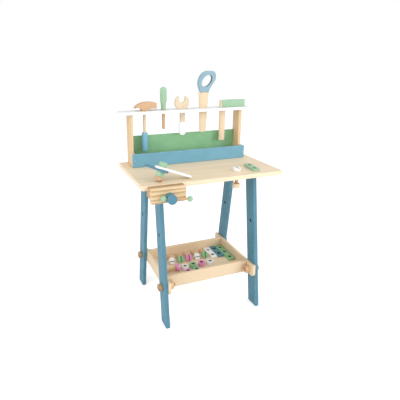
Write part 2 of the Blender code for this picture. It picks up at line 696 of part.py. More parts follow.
# ---------------------------------------------------------------- the tools in the rack
def make_hammer(bench):
    stand = empty("hammer_axis", (HAMMER_X, TOOLS_Y, SHELF_TOP + GAP), bench)
    half_neck = 0.0100
    top = 0.0300
    face = 0.0424
    claw = -0.0368
    outline = [(-half_neck, 0.0), (half_neck, 0.0)]
    outline += bend((half_neck, 0.0), (half_neck + 0.002, 0.006), (0.020, 0.007), (face - 0.001, 0.0065), 5)
    outline += [(face, 0.0075), (face, 0.0250), (face - 0.001, 0.0260)]
    outline += bend((face - 0.001, 0.0260), (0.028, top), (0.020, top), (half_neck, top), 5)
    outline += bend((half_neck, top), (-0.010, top), (-0.026, 0.024), (claw, 0.0105), 7)
    outline += [(claw + 0.0008, 0.0085)]
    outline += bend((claw + 0.0008, 0.0085), (-0.028, 0.0135), (-0.013, 0.012), (-half_neck, 0.0), 7)[:-1]
    half_depth = 0.0122
    head = keep("hammer_head", prism(outline, "Y", -half_depth, half_depth), "beech", stand)
    ease_edges(head, 0.001, 1)
    handle_radius = 0.005
    handle_top = 0.020
    grip_top = 0.6117 - SHELF_TOP
    grip_end = 0.5451 - SHELF_TOP
    drill(head, (0, 0, -CUTTER_REACH), "+Z", handle_radius + GAP, handle_top + CUTTER_REACH + GAP, stand)
    socket = 0.012  # the handle stops this far above the grip's lower end
    ends = (grip_end + socket, handle_top)
    rod = turned([(handle_radius, end, "round") for end in ends], 16)
    smooth(keep("hammer_handle", rod, "birch", stand))
    grip_radius = 0.0105
    edge = 0.003
    rings = [
        (grip_radius - edge, grip_end, "round"),
        (grip_radius - edge * 0.3, grip_end + edge * 0.3, "round"),
        (grip_radius, grip_end + edge, "round"),
        (grip_radius, grip_top - edge, "round"),
        (grip_radius - edge * 0.3, grip_top - edge * 0.3, "round"),
        (grip_radius - edge, grip_top, "round"),
    ]
    grip = keep("hammer_grip", turned(rings, 18), "blue_paint", stand)
    smooth(grip)
    depth = grip_top - grip_end - socket + GAP
    drill(grip, (0, 0, grip_top + CUTTER_REACH), "-Z", handle_radius + GAP, depth + CUTTER_REACH, stand)


def make_screwdriver(bench):
    stand = empty("screwdriver_axis", (SCREWDRIVER_X, TOOLS_Y, SHELF_TOP + GAP), bench)
    shaft_radius = 0.0055
    socket = 0.030
    rings = [
        (0.0080, 0.0, "round"),
        (0.0088, 0.0010, "round"),
        (0.0088, 0.0140, "round"),
        (0.0096, 0.0200, "round"),
        (0.0115, 0.0300, "fluted"),
        (0.0120, 0.0400, "fluted"),
        (0.0120, 0.0620, "fluted"),
        (0.0112, 0.0700, "round"),
        (0.0092, 0.0755, "round"),
        (0.0055, 0.0780, "round"),
    ]
    handle = keep("screwdriver_handle", turned(rings, 24), "mint_paint", stand)
    smooth(handle)
    drill(handle, (0, 0, -CUTTER_REACH), "+Z", shaft_radius + GAP, socket + CUTTER_REACH + GAP, stand)
    tip = 0.6198 - SHELF_TOP
    rings = [
        (shaft_radius * 0.6, tip, "round"),
        (shaft_radius, tip + 0.004, "round"),
        (shaft_radius, socket, "round"),
    ]
    smooth(keep("screwdriver_shaft", turned(rings, 16), "beech", stand))


def make_wrench(bench):
    stand = empty("wrench_axis", (WRENCH_X, TOOLS_Y, SHELF_TOP + GAP), bench)
    neck = 0.0092
    head = 0.0273
    jaw = 0.0112
    jaw_middle = 0.0340
    tip = 0.0450
    shift = -0.0027  # the head stands a little to the left of the handle's middle
    palm = 0.0128
    end = 0.5932 - SHELF_TOP
    paint_line = 0.6417 - SHELF_TOP
    handle = [(palm, end + palm), (palm, paint_line - 0.010), (neck, paint_line), (neck, 0.0)]
    right = [(neck + 0.006, 0.0)]
    right += bend((neck + 0.006, 0.0), (0.022, 0.004), (head, 0.010), (head, 0.0220), 6)
    right += bend((head, 0.0220), (head, 0.034), (0.022, 0.041), (jaw + 0.0050, tip), 5)
    right += [(jaw + 0.001, tip), (jaw, tip - 0.001)]
    right += arc((0.0, jaw_middle), jaw, 0, -90, 5)[:-1]
    top = right + [(0.0, jaw_middle - jaw)] + [(-x, z) for x, z in reversed(right)]
    top = [(x + shift, z) for x, z in top]
    bottom = arc((0.0, end + palm), palm, 180, 360, 10)[1:-1]
    outline = handle + top + [(-x, z) for x, z in reversed(handle)] + bottom
    piece = keep("wrench", prism(outline, "Y", -0.0045, 0.0045), "birch", stand)
    ease_edges(piece, 0.001, 1)


def make_saw(bench):
    stand = empty("saw_axis", (SAW_X, TOOLS_Y, SHELF_TOP + GAP), bench)
    handle_half = 0.007
    blade_half = 0.003
    joint = 0.0567  # where the blade meets the handle, above the shelf
    neck_half = 0.0165
    rim = (
        ((neck_half, joint), (0.0185, joint + 0.012), (0.0300, 0.0820), (0.0375, 0.0915)),
        ((0.0375, 0.0915), (0.0430, 0.0990), (0.0440, 0.1040), (0.0440, 0.1125)),
        ((0.0440, 0.1125), (0.0440, 0.1235), (0.0375, 0.1308), (0.0260, 0.1308)),
        ((0.0260, 0.1308), (0.0205, 0.1312), (0.0150, 0.1312), (0.0090, 0.1305)),
        ((0.0090, 0.1305), (-0.0100, 0.1285), (-0.0252, 0.1080), (-0.0252, 0.0890)),
        ((-0.0252, 0.0890), (-0.0252, 0.0780), (-0.0205, 0.0690), (-neck_half, joint)),
    )
    outline = [(neck_half, joint)]
    for curve in rim:
        outline += bend(*curve, 5)
    ring = keep("saw_handle", prism(outline, "Y", -handle_half, handle_half), "blue_paint", stand)
    ease_edges(ring, 0.0012, 1)
    mill(ring, ellipse((0.0088, 0.0963), 0.0242, 0.0157, 47.0, 24), "Y", -0.02, 0.02, stand)
    tongue_half = 0.010
    tongue_high = 0.010
    socket = rectangle(-tongue_half - GAP, tongue_half + GAP, joint - 0.01, joint + tongue_high + GAP)
    mill(ring, socket, "Y", -blade_half - GAP, blade_half + GAP, stand)
    bottom = joint - GAP
    tip = 0.5995 - SHELF_TOP
    outline = [
        (-0.0126, tip),
        (0.0030, tip),
        (0.0090, tip + 0.0075),
        (0.0137, 0.0),
        (0.0172, bottom),
        (tongue_half, bottom),
        (tongue_half, joint + tongue_high),
        (-tongue_half, joint + tongue_high),
        (-tongue_half, bottom),
        (-0.0215, bottom),
        (-0.0172, 0.0),
        (-0.0150, tip + 0.0100),
    ]
    blade = keep("saw_blade", prism(outline, "Y", -blade_half, blade_half), "birch", stand)
    ease_edges(blade, 0.0006, 1)


def make_square(bench):
    stand = empty("square_axis", (SQUARE_X, TOOLS_Y, SHELF_TOP + GAP), bench)
    end_block = (0.0034, 0.0090)
    stock_end = 0.1055
    stock_high = 0.0262
    stock_half = 0.0065
    blade_edge = 0.0250
    blade_half = 0.004
    stock = ((end_block[1] + GAP, stock_end), (-stock_half, stock_half), (0.0, stock_high))
    board("square_stock", stock, "mint_paint", stand)
    tip = 0.5631 - SHELF_TOP
    box = ((end_block[0], blade_edge), (-blade_half, blade_half), (tip, -GAP))
    blade = board("square_blade", box, "birch", stand, 0.0008)
    lap = prism(rectangle(*end_block, -blade_half, stock_high), "Y", -blade_half, blade_half)
    combine(blade, keep("square_blade lap", lap, "birch", stand), "UNION")
    block = prism(rectangle(*end_block, 0.0, stock_high), "Y", -stock_half, stock_half)
    combine(blade, keep("square_blade end", block, "birch", stand), "UNION")


# ---------------------------------------------------------------- the whole
def main():
    clear_scene()
    bench = empty("bench", (0.0, BENCH_Y, 0.0))
    make_worktop(bench)
    for side, word in ((-1, "left"), (1, "right")):
        make_leg("leg_front_" + word, side, -1, bench)
        make_leg("leg_rear_" + word, side, 1, bench)
        make_cleat("cleat_" + word, side, bench)
    make_tray(bench)
    make_tray_bolts(bench)
    make_rack(bench)
    make_fixed_jaw(bench)
    make_moving_jaw(bench)
    make_screw(bench)
    make_hammer(bench)
    make_screwdriver(bench)
    make_wrench(bench)
    make_saw(bench)
    make_square(bench)
    make_table_pieces(bench)
    make_build(bench)
    make_tray_pieces(bench)


main()
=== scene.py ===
# %% [markdown]
# # A wooden toy workbench
#
# A play bench of painted and plain timber: a table on splayed legs, a tray bolted between them, a vise, a
# rack with five hanging tools, and big toy bolts, nuts and strips. The engineering frame already knows
# where every part sits and how it moves. This lesson dresses that frame: each part gets a finely eased
# surface worked out with numpy, and a finish built from nodes. Everything is in metres, +Z up, with the
# front facing -Y.

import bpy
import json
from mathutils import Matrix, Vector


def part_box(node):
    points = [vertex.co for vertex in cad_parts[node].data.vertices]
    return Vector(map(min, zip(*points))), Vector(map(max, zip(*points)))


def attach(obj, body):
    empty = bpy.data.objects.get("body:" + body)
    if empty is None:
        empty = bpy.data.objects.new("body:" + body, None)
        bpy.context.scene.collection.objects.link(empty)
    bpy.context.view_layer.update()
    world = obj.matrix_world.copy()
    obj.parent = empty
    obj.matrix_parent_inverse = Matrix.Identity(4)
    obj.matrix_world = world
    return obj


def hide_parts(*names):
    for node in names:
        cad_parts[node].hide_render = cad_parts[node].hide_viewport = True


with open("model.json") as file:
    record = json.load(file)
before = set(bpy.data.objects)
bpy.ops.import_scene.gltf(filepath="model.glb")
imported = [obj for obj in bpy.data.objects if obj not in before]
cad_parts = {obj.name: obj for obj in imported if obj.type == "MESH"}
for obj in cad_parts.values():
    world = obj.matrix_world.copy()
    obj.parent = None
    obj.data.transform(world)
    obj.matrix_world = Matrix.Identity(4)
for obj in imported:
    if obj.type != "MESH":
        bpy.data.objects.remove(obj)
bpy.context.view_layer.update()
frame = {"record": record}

# %% Tools
import json
import math

import bmesh
import bpy
import numpy as np
from mathutils import Matrix, Vector
from mathutils.geometry import tessellate_polygon

dice = np.random.default_rng(7)
body_of = {node: body for body, nodes in frame["record"]["behaviour"]["bodies"].items() for node in nodes}


def box(node):
    """Lowest and highest corner of a part in the frame, as arrays."""
    low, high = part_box(node)
    return np.array(low), np.array(high)


bench_y = float(sum(box("worktop"))[1] / 2)
print("the middle of the worktop is at y =", round(bench_y, 4))

# %% [markdown]
# ## Skins
#
# Blender can round a board with a Bevel modifier, but here every surface is written as arrays, so that one
# formula gives its points, the coordinates of its grain and the places where its edges wear. A skin is
# (points, faces, worn, timber): worn is 1 on the crown of an eased edge, and timber holds (along the
# grain, across it, through the board), which stays with the wood however the piece is later turned.


# %% Grids, joins and moves
def quads(rows, columns, wrap_rows=False, wrap_columns=True):
    """Faces of a grid whose point (i, j) has the number i * columns + j."""
    down = np.arange(rows - (not wrap_rows))
    across = np.arange(columns - (not wrap_columns))
    i, j = np.meshgrid(down, across, indexing="ij")
    after_i = (i + 1) % rows
    after_j = (j + 1) % columns
    corners = [i * columns + j, i * columns + after_j, after_i * columns + after_j, after_i * columns + j]
    return np.stack(corners, axis=-1).reshape(-1, 4)


def joined(*skins):
    """Several skins as one. Their shared seams are welded when the piece is made."""
    starts = np.cumsum([0] + [len(skin[0]) for skin in skins[:-1]])
    faces = [block + start for skin, start in zip(skins, starts) for block in skin[1]]
    points, worn, timber = (np.concatenate([skin[k] for skin in skins]) for k in (0, 2, 3))
    return points, faces, worn, timber


def placed(skin, matrix):
    """The skin carried by a 4 x 4 matrix. Its grain goes with it."""
    grid = np.array(matrix)
    points = skin[0] @ grid[:3, :3].T + grid[:3, 3]
    return points, skin[1], skin[2], skin[3]


def stood(skin, axis):
    """Local (u, v, w) laid out with w along the named axis and u, v along the other two, in order."""
    order = {"X": [2, 0, 1], "Y": [0, 2, 1], "Z": [0, 1, 2]}[axis]
    return skin[0][:, order], skin[1], skin[2], skin[3]


# %% [markdown]
# ## Outlines
#
# A board starts as a flat outline. Its corners are true arcs: each one is swung about a centre that lies
# on the corner's bisector, so that the eased edge can follow it at an even distance.


# %% Outlines
def fillet(corners, radius, steps=5):
    """A closed outline with an arc at each corner. radius is one number, or one for each corner."""
    here = np.array(corners, float)
    back = np.roll(here, 1, axis=0) - here
    ahead = np.roll(here, -1, axis=0) - here
    back /= np.linalg.norm(back, axis=1, keepdims=True)
    ahead /= np.linalg.norm(ahead, axis=1, keepdims=True)
    half = np.arccos(np.clip((back * ahead).sum(1), -1, 1)) / 2
    reach = np.broadcast_to(np.array(radius, float), half.shape)
    bisector = back + ahead
    bisector /= np.linalg.norm(bisector, axis=1, keepdims=True)
    centre = here + bisector * (reach / np.sin(half))[:, None]
    arm = here + back * (reach / np.tan(half))[:, None] - centre
    side = np.sign(ahead[:, 1] * -back[:, 0] + ahead[:, 0] * back[:, 1])
    swing = (side * (np.pi - 2 * half))[:, None] * np.linspace(0, 1, steps + 1)
    x = arm[:, :1] * np.cos(swing) - arm[:, 1:] * np.sin(swing)
    y = arm[:, :1] * np.sin(swing) + arm[:, 1:] * np.cos(swing)
    return (centre[:, None] + np.stack([x, y], axis=-1)).reshape(-1, 2)


def rectangle(left, right, low, high, radius, steps=5):
    return fillet([(left, low), (right, low), (right, high), (left, high)], radius, steps)


def oval(middle, long_half, short_half, tilt=0.0, steps=48):
    """A closed ellipse; with equal halves it is the circle of a drilled hole."""
    turn = np.linspace(0, 2 * np.pi, steps, endpoint=False)
    u = long_half * np.cos(turn)
    v = short_half * np.sin(turn)
    lean = math.radians(tilt)
    points = [u * math.cos(lean) - v * math.sin(lean), u * math.sin(lean) + v * math.cos(lean)]
    return np.stack(points, axis=-1) + middle


def sweep_of(start, *curves, steps=14):
    """Cubic curves end to end. Each is given as (b, c, d) and begins at a, where the one before it ended.

    Its points are (1-t)^3 a + 3t(1-t)^2 b + 3t^2(1-t) c + t^3 d, for t from 0 to 1.
    """
    t = np.linspace(0, 1, steps, endpoint=False)[:, None]
    weights = ((1 - t) ** 3, 3 * t * (1 - t) ** 2, 3 * t * t * (1 - t), t**3)
    points = []
    for curve in curves:
        points.append(sum(w * np.array(p, float) for w, p in zip(weights, (start, *curve))))
        start = curve[-1]
    return np.vstack([*points, [start]])


# %% [markdown]
# ## Boards
#
# Every flat part is an outline given a thickness, with its sharp edges sanded round. The loop round the
# board, and the loop round each hole, is carried along a small profile: in over the flat face, round a
# quarter circle, down the wall and back. A last ring on the flat keeps the face's shading level.

# %% Boards
EASE = 0.0016  # sanded edge of a board
FLAT_RING = 0.0004  # the ring on the flat face next to it
# Walls with this mark get painted shade: a darker copy of their finish.
BORED = -1.0  # the mark of a hole's wall, kept where a skin says how worn it is
CUTTER_REACH = 0.01  # how far a cutter runs on past the wood


def inward(loop):
    """For each point, the step that moves the outline sideways by one unit, to its left."""
    ahead = np.roll(loop, -1, axis=0) - loop
    ahead /= np.linalg.norm(ahead, axis=1, keepdims=True)
    left = np.stack([-ahead[:, 1], ahead[:, 0]], axis=-1)
    before = np.roll(left, 1, axis=0)
    return (left + before) / (1 + (left * before).sum(1))[:, None]


def wound(loop, leftward):
    """The loop run anticlockwise, or clockwise for a hole, so that the wood is always on its left."""
    x, y = loop[:, 0], loop[:, 1]
    area = (x * np.roll(y, -1) - np.roll(x, -1) * y).sum()
    return loop if (area > 0) == leftward else loop[::-1]


def plate(outline, low, high, holes=(), ease=EASE, steps=4, grain="u"):
    """A board from low to high in w, whose rows run from its lower face round its edge to its upper face.

    Point = outline + inset(a) * inward, where inset(a) = ease * (1 - sin a), at the height of the lower face
    plus ease * (1 - cos a), or of the upper face less that, for a from 0 to a right angle.
    """
    loops = [wound(np.array(outline), True)] + [wound(np.array(hole), False) for hole in holes]
    a = np.linspace(0, np.pi / 2, steps + 1)
    inset = np.concatenate([[ease + FLAT_RING], ease * (1 - np.sin(a))])
    rise = np.concatenate([[0.0], ease * (1 - np.cos(a))])
    crown = np.concatenate([[0.0], np.sin(2 * a)])
    inset = np.concatenate([inset, inset[::-1]])
    height = np.concatenate([low + rise, (high - rise)[::-1]])
    crown = np.concatenate([crown, crown[::-1]])
    bored = np.where(inset < 1e-9, BORED, crown)
    rows = len(inset)
    skins, rims = [], ([], [])
    start = 0
    for count, loop in enumerate(loops):
        flat = loop[None] + inset[:, None, None] * inward(loop)[None]
        w = np.broadcast_to(height[:, None], flat.shape[:2])
        points = np.concatenate([flat, w[..., None]], axis=-1).reshape(-1, 3)
        worn = np.broadcast_to((bored if count else crown)[:, None], flat.shape[:2]).reshape(-1)
        timber = points if grain == "u" else points[:, [1, 0, 2]]
        skins.append((points, [quads(rows, len(loop))], worn, timber))
        number = np.arange(len(loop)) + start
        rims[0].append((flat[0], number))
        rims[1].append((flat[-1], number + (rows - 1) * len(loop)))
        start += rows * len(loop)
    points, faces, worn, timber = joined(*skins)
    for rim in rims:
        lines = [[Vector((x, y, 0.0)) for x, y in flat] for flat, _ in rim]
        numbers = np.concatenate([number for _, number in rim])
        faces.append(numbers[np.array(tessellate_polygon(lines))])
    return points, faces, worn, timber


def board(node, ease=EASE, corner=0.0022, holes=()):
    """A plain board that fills the part's box. Its grain runs the long way."""
    low, high = box(node)
    size = high - low
    thin = int(np.argmin(size))
    u, v = [k for k in range(3) if k != thin]
    outline = rectangle(low[u], high[u], low[v], high[v], corner)
    skin = plate(outline, low[thin], high[thin], holes, ease, grain="v" if size[v] > size[u] else "u")
    return stood(skin, "XYZ"[thin])


# %% [markdown]
# ## Turned work
#
# Bolts, nuts, balls and handles come off a lathe, or look as if they did. A row of the surface is a radius
# and a height; a section then says how that radius changes with the angle. A six-sided nut is the curve
# (sum of |cos(angle - side)|^n)^(-1/n) over its three pairs of sides: with a large n that is a hexagon
# whose corners are softly rounded, and no corner has to be drawn by hand.


# %% Turned work
def hexagon(angle, sharpness=26):
    """The reach of a soft six-sided section, 1 at the middle of each side."""
    sides = np.radians([0.0, 60.0, 120.0])
    return (np.abs(np.cos(np.expand_dims(angle, -1) - sides)) ** sharpness).sum(-1) ** (-1 / sharpness)


def fluted(angle, count=8):
    """How deep a row of rounded grooves is at an angle, from 0 to 1."""
    return ((1 + np.cos(count * angle)) / 2) ** 3


def turned(rows, angles=60, ring=False, thread=None):
    """A lathe surface round w. rows are (radius, height, six-sidedness, groove depth, worn).

    radius(angle) = r * (1 + h * (hexagon - 1)) * (1 - g * fluted). A thread (pitch, depth, low, high) cuts a
    helix between two heights: r - depth * fade * (1 - cos(2 pi height / pitch - angle)) / 2, where fade rises
    from 0 to 1 over the first turn and falls back over the last.
    """
    turn = np.linspace(0, 2 * np.pi, angles, endpoint=False)
    table = np.array([tuple(row) + (0.0,) * (5 - len(row)) for row in rows])
    r, w, h, g, worn = (column[:, None] for column in table.T)
    reach = r * (1 + h * (hexagon(turn) - 1)) * (1 - g * fluted(turn))
    crown = np.broadcast_to(worn, reach.shape)
    if thread:
        pitch, depth, low, high = thread
        fade = np.clip((w - low) / pitch, 0, 1) * np.clip((high - w) / pitch, 0, 1)
        groove = fade * (1 - np.cos(2 * np.pi * w / pitch - turn)) / 2
        reach = reach - depth * groove
        crown = crown + fade * (1 - groove) ** 4
    grid = np.stack(np.broadcast_arrays(reach * np.cos(turn), reach * np.sin(turn), w), axis=-1)
    points = grid.reshape(-1, 3)
    return points, [quads(len(table), angles, wrap_rows=ring)], crown.reshape(-1), points[:, [2, 0, 1]]


def bead(radius, height, ease, start, stop, steps=4, *kind):
    """Rows round a small edge: (radius + ease * (cos a - 1), height + ease * sin a), a from start to stop."""
    a = np.radians(np.linspace(start, stop, steps + 1))
    crown = np.abs(np.sin(2 * a))
    tail = tuple(kind) + (0.0,) * (2 - len(kind))
    edge = zip(radius + ease * (np.cos(a) - 1), height + ease * np.sin(a), crown)
    return [(r, z, *tail, worn) for r, z, worn in edge]


# %% [markdown]
# ## From skin to piece
#
# A skin becomes a Blender mesh in one go. Welding closes the seams and the lathe's poles, and then the
# normals are turned outwards. Each piece rides on a body of the frame and says which engineering part it
# stands for. A hole that crosses a round surface is left to a Boolean, because its rim is no simple grid.


# %% Pieces
def bare(name, skin, finishes=()):
    """A welded mesh, faces outwards. Block k of the skin's faces takes finish k, or the last."""
    points, faces, worn, timber = skin
    mesh = bpy.data.meshes.new(name)
    mesh.from_pydata(points.tolist(), [], [row for block in faces for row in block.tolist()])
    mesh.attributes.new("worn", "FLOAT", "POINT").data.foreach_set("value", worn.astype(np.float32))
    for finish in finishes:
        mesh.materials.append(finish)
    if len(finishes) > 1:
        number = np.repeat(np.arange(len(faces)), [len(block) for block in faces])
        mesh.polygons.foreach_set("material_index", np.minimum(number, len(finishes) - 1).astype(np.int32))
    weld = bmesh.new()
    weld.from_mesh(mesh)
    bmesh.ops.remove_doubles(weld, verts=weld.verts, dist=1e-6)
    bmesh.ops.dissolve_degenerate(weld, edges=weld.edges, dist=1e-7)
    bmesh.ops.recalc_face_normals(weld, faces=weld.faces)
    weld.to_mesh(mesh)
    weld.free()
    return mesh


def worked(made, skins, operation):
    """The piece with each tool's skin cut from it or joined to it. The tools are gone afterwards."""
    tools = []
    for skin in skins:
        tool = bpy.data.objects.new("tool", bare("tool", skin))
        for finish in made.data.materials:
            tool.data.materials.append(finish)
        # Faces left by a cut take the last finish, which paints shade on the walls of the cut.
        if operation == "DIFFERENCE":
            last = np.full(len(tool.data.polygons), len(made.data.materials) - 1, dtype=np.int32)
            tool.data.polygons.foreach_set("material_index", last)
        bpy.context.scene.collection.objects.link(tool)
        step = made.modifiers.new(operation, "BOOLEAN")
        step.operation = operation
        step.solver = "EXACT"
        step.object = tool
        tools.append(tool)
    bpy.context.view_layer.update()
    solid = bpy.data.meshes.new_from_object(made.evaluated_get(bpy.context.evaluated_depsgraph_get()))
    made.modifiers.clear()
    made.data = solid
    for tool in tools:
        bpy.data.objects.remove(tool)


def darkened(mesh):
    """Gives the marked walls of holes the last finish, the painted shade, and clears their marks."""
    mark = mesh.attributes["worn"].data
    worn = np.empty(len(mesh.vertices), dtype=np.float32)
    mark.foreach_get("value", worn)
    walls = worn < BORED / 2
    for face in mesh.polygons:
        if walls[list(face.vertices)].all():
            face.material_index = len(mesh.materials) - 1
    mark.foreach_set("value", np.maximum(worn, 0))


def grained(mesh, skin):
    """Writes the grain coordinates, moved by a random step so that no two boards match.

    They are an affine rule of the place, timber = (place, 1) @ rule, fitted to the skin's own points.
    """
    ones = np.ones((len(skin[0]), 1))
    rule = np.linalg.lstsq(np.hstack([skin[0], ones]), skin[3], rcond=None)[0]
    place = np.empty(len(mesh.vertices) * 3)
    mesh.vertices.foreach_get("co", place)
    place = place.reshape(-1, 3)
    timber = np.hstack([place, np.ones((len(place), 1))]) @ rule
    timber += dice.uniform((-3.0, -0.03, 0.04), (3.0, 0.03, 0.09))
    mesh.attributes.new("timber", "FLOAT_VECTOR", "POINT").data.foreach_set("vector", timber.ravel())


def piece(node, skin, finishes, cuts=(), adds=(), name=None, sharp=38.0):
    """One visible piece. It stands for the frame's part of that name, unless it has a name of its own."""
    finishes = finishes if isinstance(finishes, tuple) else (finishes,)
    own_name = name or node + "_finished"
    made = bpy.data.objects.new(own_name, bare(own_name, skin, finishes))
    # Painted shade: a darker copy of the first finish, for hole walls and for the faces that cuts leave.
    if cuts or skin[2].min() < 0:
        made.data.materials.append(painted_shade_of(finishes[0]))
    bpy.context.scene.collection.objects.link(made)
    if adds:
        worked(made, adds, "UNION")
    if cuts:
        worked(made, cuts, "DIFFERENCE")
    darkened(made.data)
    grained(made.data, skin)
    made.data.name = own_name
    made.data.shade_smooth()
    made.data.set_sharp_from_angle(angle=math.radians(sharp))
    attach(made, body_of[node] if name is None else "bench")
    if name is None:
        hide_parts(node)
    print(f"{own_name}: {len(made.data.polygons)} faces, {len(made.data.materials)} finish")
    return made


# %% [markdown]
# ## Finishes
#
# Two finishes cover the bench: clear-lacquered timber and satin paint over timber. Only two small screws
# are bare steel. The walls of holes and slots take a darker copy of their piece's finish, which is painted
# shade for the little light that gets in there. All are built from small node groups, made once and placed
# in each material with that finish's own values. A group gives out only colours, masks and heights; the
# shader, and anything that depends on the view, stays in the material.


# %% Node helpers
def feed(tree, sockets, values):
    """Gives sockets their values. One may be plain, a socket, or a node, whose first output is used."""
    for key, value in dict(values).items():
        if isinstance(value, bpy.types.Node):
            value = value.outputs[0]
        if isinstance(value, bpy.types.NodeSocket):
            tree.links.new(value, sockets[key])
        else:
            sockets[key].default_value = value


def add(tree, kind, settings=(), inputs=()):
    """A shader node with its settings and what feeds its inputs."""
    made = tree.nodes.new("ShaderNode" + kind)
    for key, value in dict(settings).items():
        setattr(made, key, value)
    feed(tree, made.inputs, inputs)
    return made


def group_in(tree, group, inputs):
    """A node group placed in a material."""
    return add(tree, "Group", {"node_tree": group}, inputs)


def sums(tree, operation, *values):
    return add(tree, "Math", {"operation": operation}, dict(enumerate(values)))


def stretched_noise(tree, vector, stretch, detail=2.0):
    """Noise whose cells are 1 / stretch metres along each axis."""
    scaled = add(tree, "VectorMath", {"operation": "MULTIPLY"}, {0: vector, 1: stretch})
    return add(tree, "TexNoise", {}, {"Vector": scaled, "Scale": 1.0, "Detail": detail})


def ramp(tree, value, low, high, out_low=0.0, out_high=1.0):
    levels = {"Value": value, "From Min": low, "From Max": high, "To Min": out_low, "To Max": out_high}
    return add(tree, "MapRange", {"interpolation_type": "SMOOTHSTEP"}, levels)


def blend_colour(tree, share, one, other, how="MIX"):
    settings = {"data_type": "RGBA", "blend_type": how}
    return add(tree, "Mix", settings, {0: share, 6: one, 7: other}).outputs[2]


def new_group(name, inputs, outputs):
    """An empty node group with named sockets, and its inner ends."""
    tree = bpy.data.node_groups.new(name, "ShaderNodeTree")
    for label, kind, value in inputs:
        socket = tree.interface.new_socket(label, in_out="INPUT", socket_type="NodeSocket" + kind)
        socket.default_value = value
    for label, kind in outputs:
        tree.interface.new_socket(label, in_out="OUTPUT", socket_type="NodeSocket" + kind)
    return tree, tree.nodes.new("NodeGroupInput").outputs, tree.nodes.new("NodeGroupOutput").inputs


# %% [markdown]
# ### Timber
#
# A tree grows in rings round its heart, so the pattern of a board is a slice through nested cylinders. The
# group takes the timber coordinates, bends them a little, and measures the distance from the heart. The
# rest of that distance after dividing by the ring width rises slowly through the pale early wood and drops
# sharply after the dark late wood. Fibres and pores are noise stretched many times longer than it is wide.
# The same rule gives long stripes on a face and arcs on an end, with no seam between them.


# %% Timber group
def make_timber():
    colours = [("Pale", "Color", (0.8, 0.65, 0.45, 1)), ("Dark", "Color", (0.6, 0.4, 0.2, 1))]
    values = [("Ring Width", "Float", 0.004), ("Contrast", "Float", 0.4), ("Fibre", "Float", 0.3)]
    values += [("Warp", "Float", 0.014)]
    outputs = [("Color", "Color"), ("Height", "Float"), ("Roughness", "Float")]
    tree, given, out = new_group("timber", [("Timber", "Vector", (0, 0, 0))] + colours + values, outputs)
    bend = stretched_noise(tree, given["Timber"], (1.6, 14.0, 14.0))
    warp = add(tree, "CombineXYZ", {}, {"Y": given["Warp"], "Z": given["Warp"]})
    push = {0: bend.outputs["Color"], 1: warp, 2: given["Timber"]}
    bent = add(tree, "VectorMath", {"operation": "MULTIPLY_ADD"}, push)
    across = add(tree, "VectorMath", {"operation": "MULTIPLY"}, {0: bent, 1: (0.0, 1.0, 1.0)})
    reach = add(tree, "VectorMath", {"operation": "LENGTH"}, {0: across}).outputs["Value"]
    share = sums(tree, "FRACT", sums(tree, "DIVIDE", reach, given["Ring Width"]))
    late = sums(tree, "MULTIPLY", ramp(tree, share, 0.25, 0.92), ramp(tree, share, 0.92, 1.0, 1.0, 0.0))
    fibre = sums(tree, "SUBTRACT", stretched_noise(tree, given["Timber"], (16.0, 800.0, 800.0), 3.0), 0.5)
    pores = ramp(tree, stretched_noise(tree, given["Timber"], (70.0, 1900.0, 1900.0)), 0.6, 0.72)
    cloud = sums(tree, "SUBTRACT", stretched_noise(tree, given["Timber"], (3.0, 16.0, 16.0)), 0.5)
    dark = sums(tree, "MULTIPLY_ADD", late, given["Contrast"], sums(tree, "MULTIPLY", cloud, 0.5))
    dark = sums(tree, "MULTIPLY_ADD", fibre, given["Fibre"], dark)
    dark = sums(tree, "MULTIPLY_ADD", pores, 0.10, dark)
    dark = add(tree, "Clamp", {}, {0: dark})
    colour = blend_colour(tree, dark, given["Pale"], given["Dark"])
    height = sums(tree, "MULTIPLY_ADD", fibre, 0.5, sums(tree, "MULTIPLY", late, 0.35))
    height = sums(tree, "MULTIPLY_ADD", pores, -0.5, height)
    rough = sums(tree, "MULTIPLY_ADD", fibre, 0.16, 0.50)
    feed(tree, out, {"Color": colour, "Height": height, "Roughness": rough})
    return tree


timber = make_timber()

# %% [markdown]
# ### Paint
#
# The paint is sprayed satin: it levels out into a very fine orange peel, lets the strongest fibres show
# through as a faint ripple, and varies a little in depth from place to place.


# %% Paint group
def make_paint():
    inputs = [("Timber", "Vector", (0, 0, 0)), ("Place", "Vector", (0, 0, 0))]
    inputs += [("Paint", "Color", (0.5, 0.5, 0.5, 1))]
    outputs = [("Color", "Color"), ("Height", "Float"), ("Roughness", "Float")]
    tree, given, out = new_group("satin paint", inputs, outputs)
    cloud = stretched_noise(tree, given["Place"], (22.0, 22.0, 22.0), 3.0)
    peel = stretched_noise(tree, given["Place"], (520.0, 520.0, 520.0), 1.0)
    fibre = stretched_noise(tree, given["Timber"], (9.0, 380.0, 380.0))
    deep = blend_colour(tree, 1.0, given["Paint"], (0.90, 0.91, 0.92, 1), "MULTIPLY")
    shade = ramp(tree, sums(tree, "MULTIPLY_ADD", fibre, 0.35, cloud), 0.42, 0.92)
    colour = blend_colour(tree, shade, given["Paint"], deep)
    height = sums(tree, "MULTIPLY_ADD", peel, 0.35, fibre)
    rough = sums(tree, "MULTIPLY_ADD", cloud, 0.14, 0.36)
    feed(tree, out, {"Color": colour, "Height": height, "Roughness": rough})
    return tree


paint = make_paint()

# %% [markdown]
# ### Edges
#
# Sanded and handled edges look a touch lighter: paint is thin there, and lacquered wood is polished. The
# skins already mark the crown of each eased edge, so the mask is that mark broken up by a patchy noise.


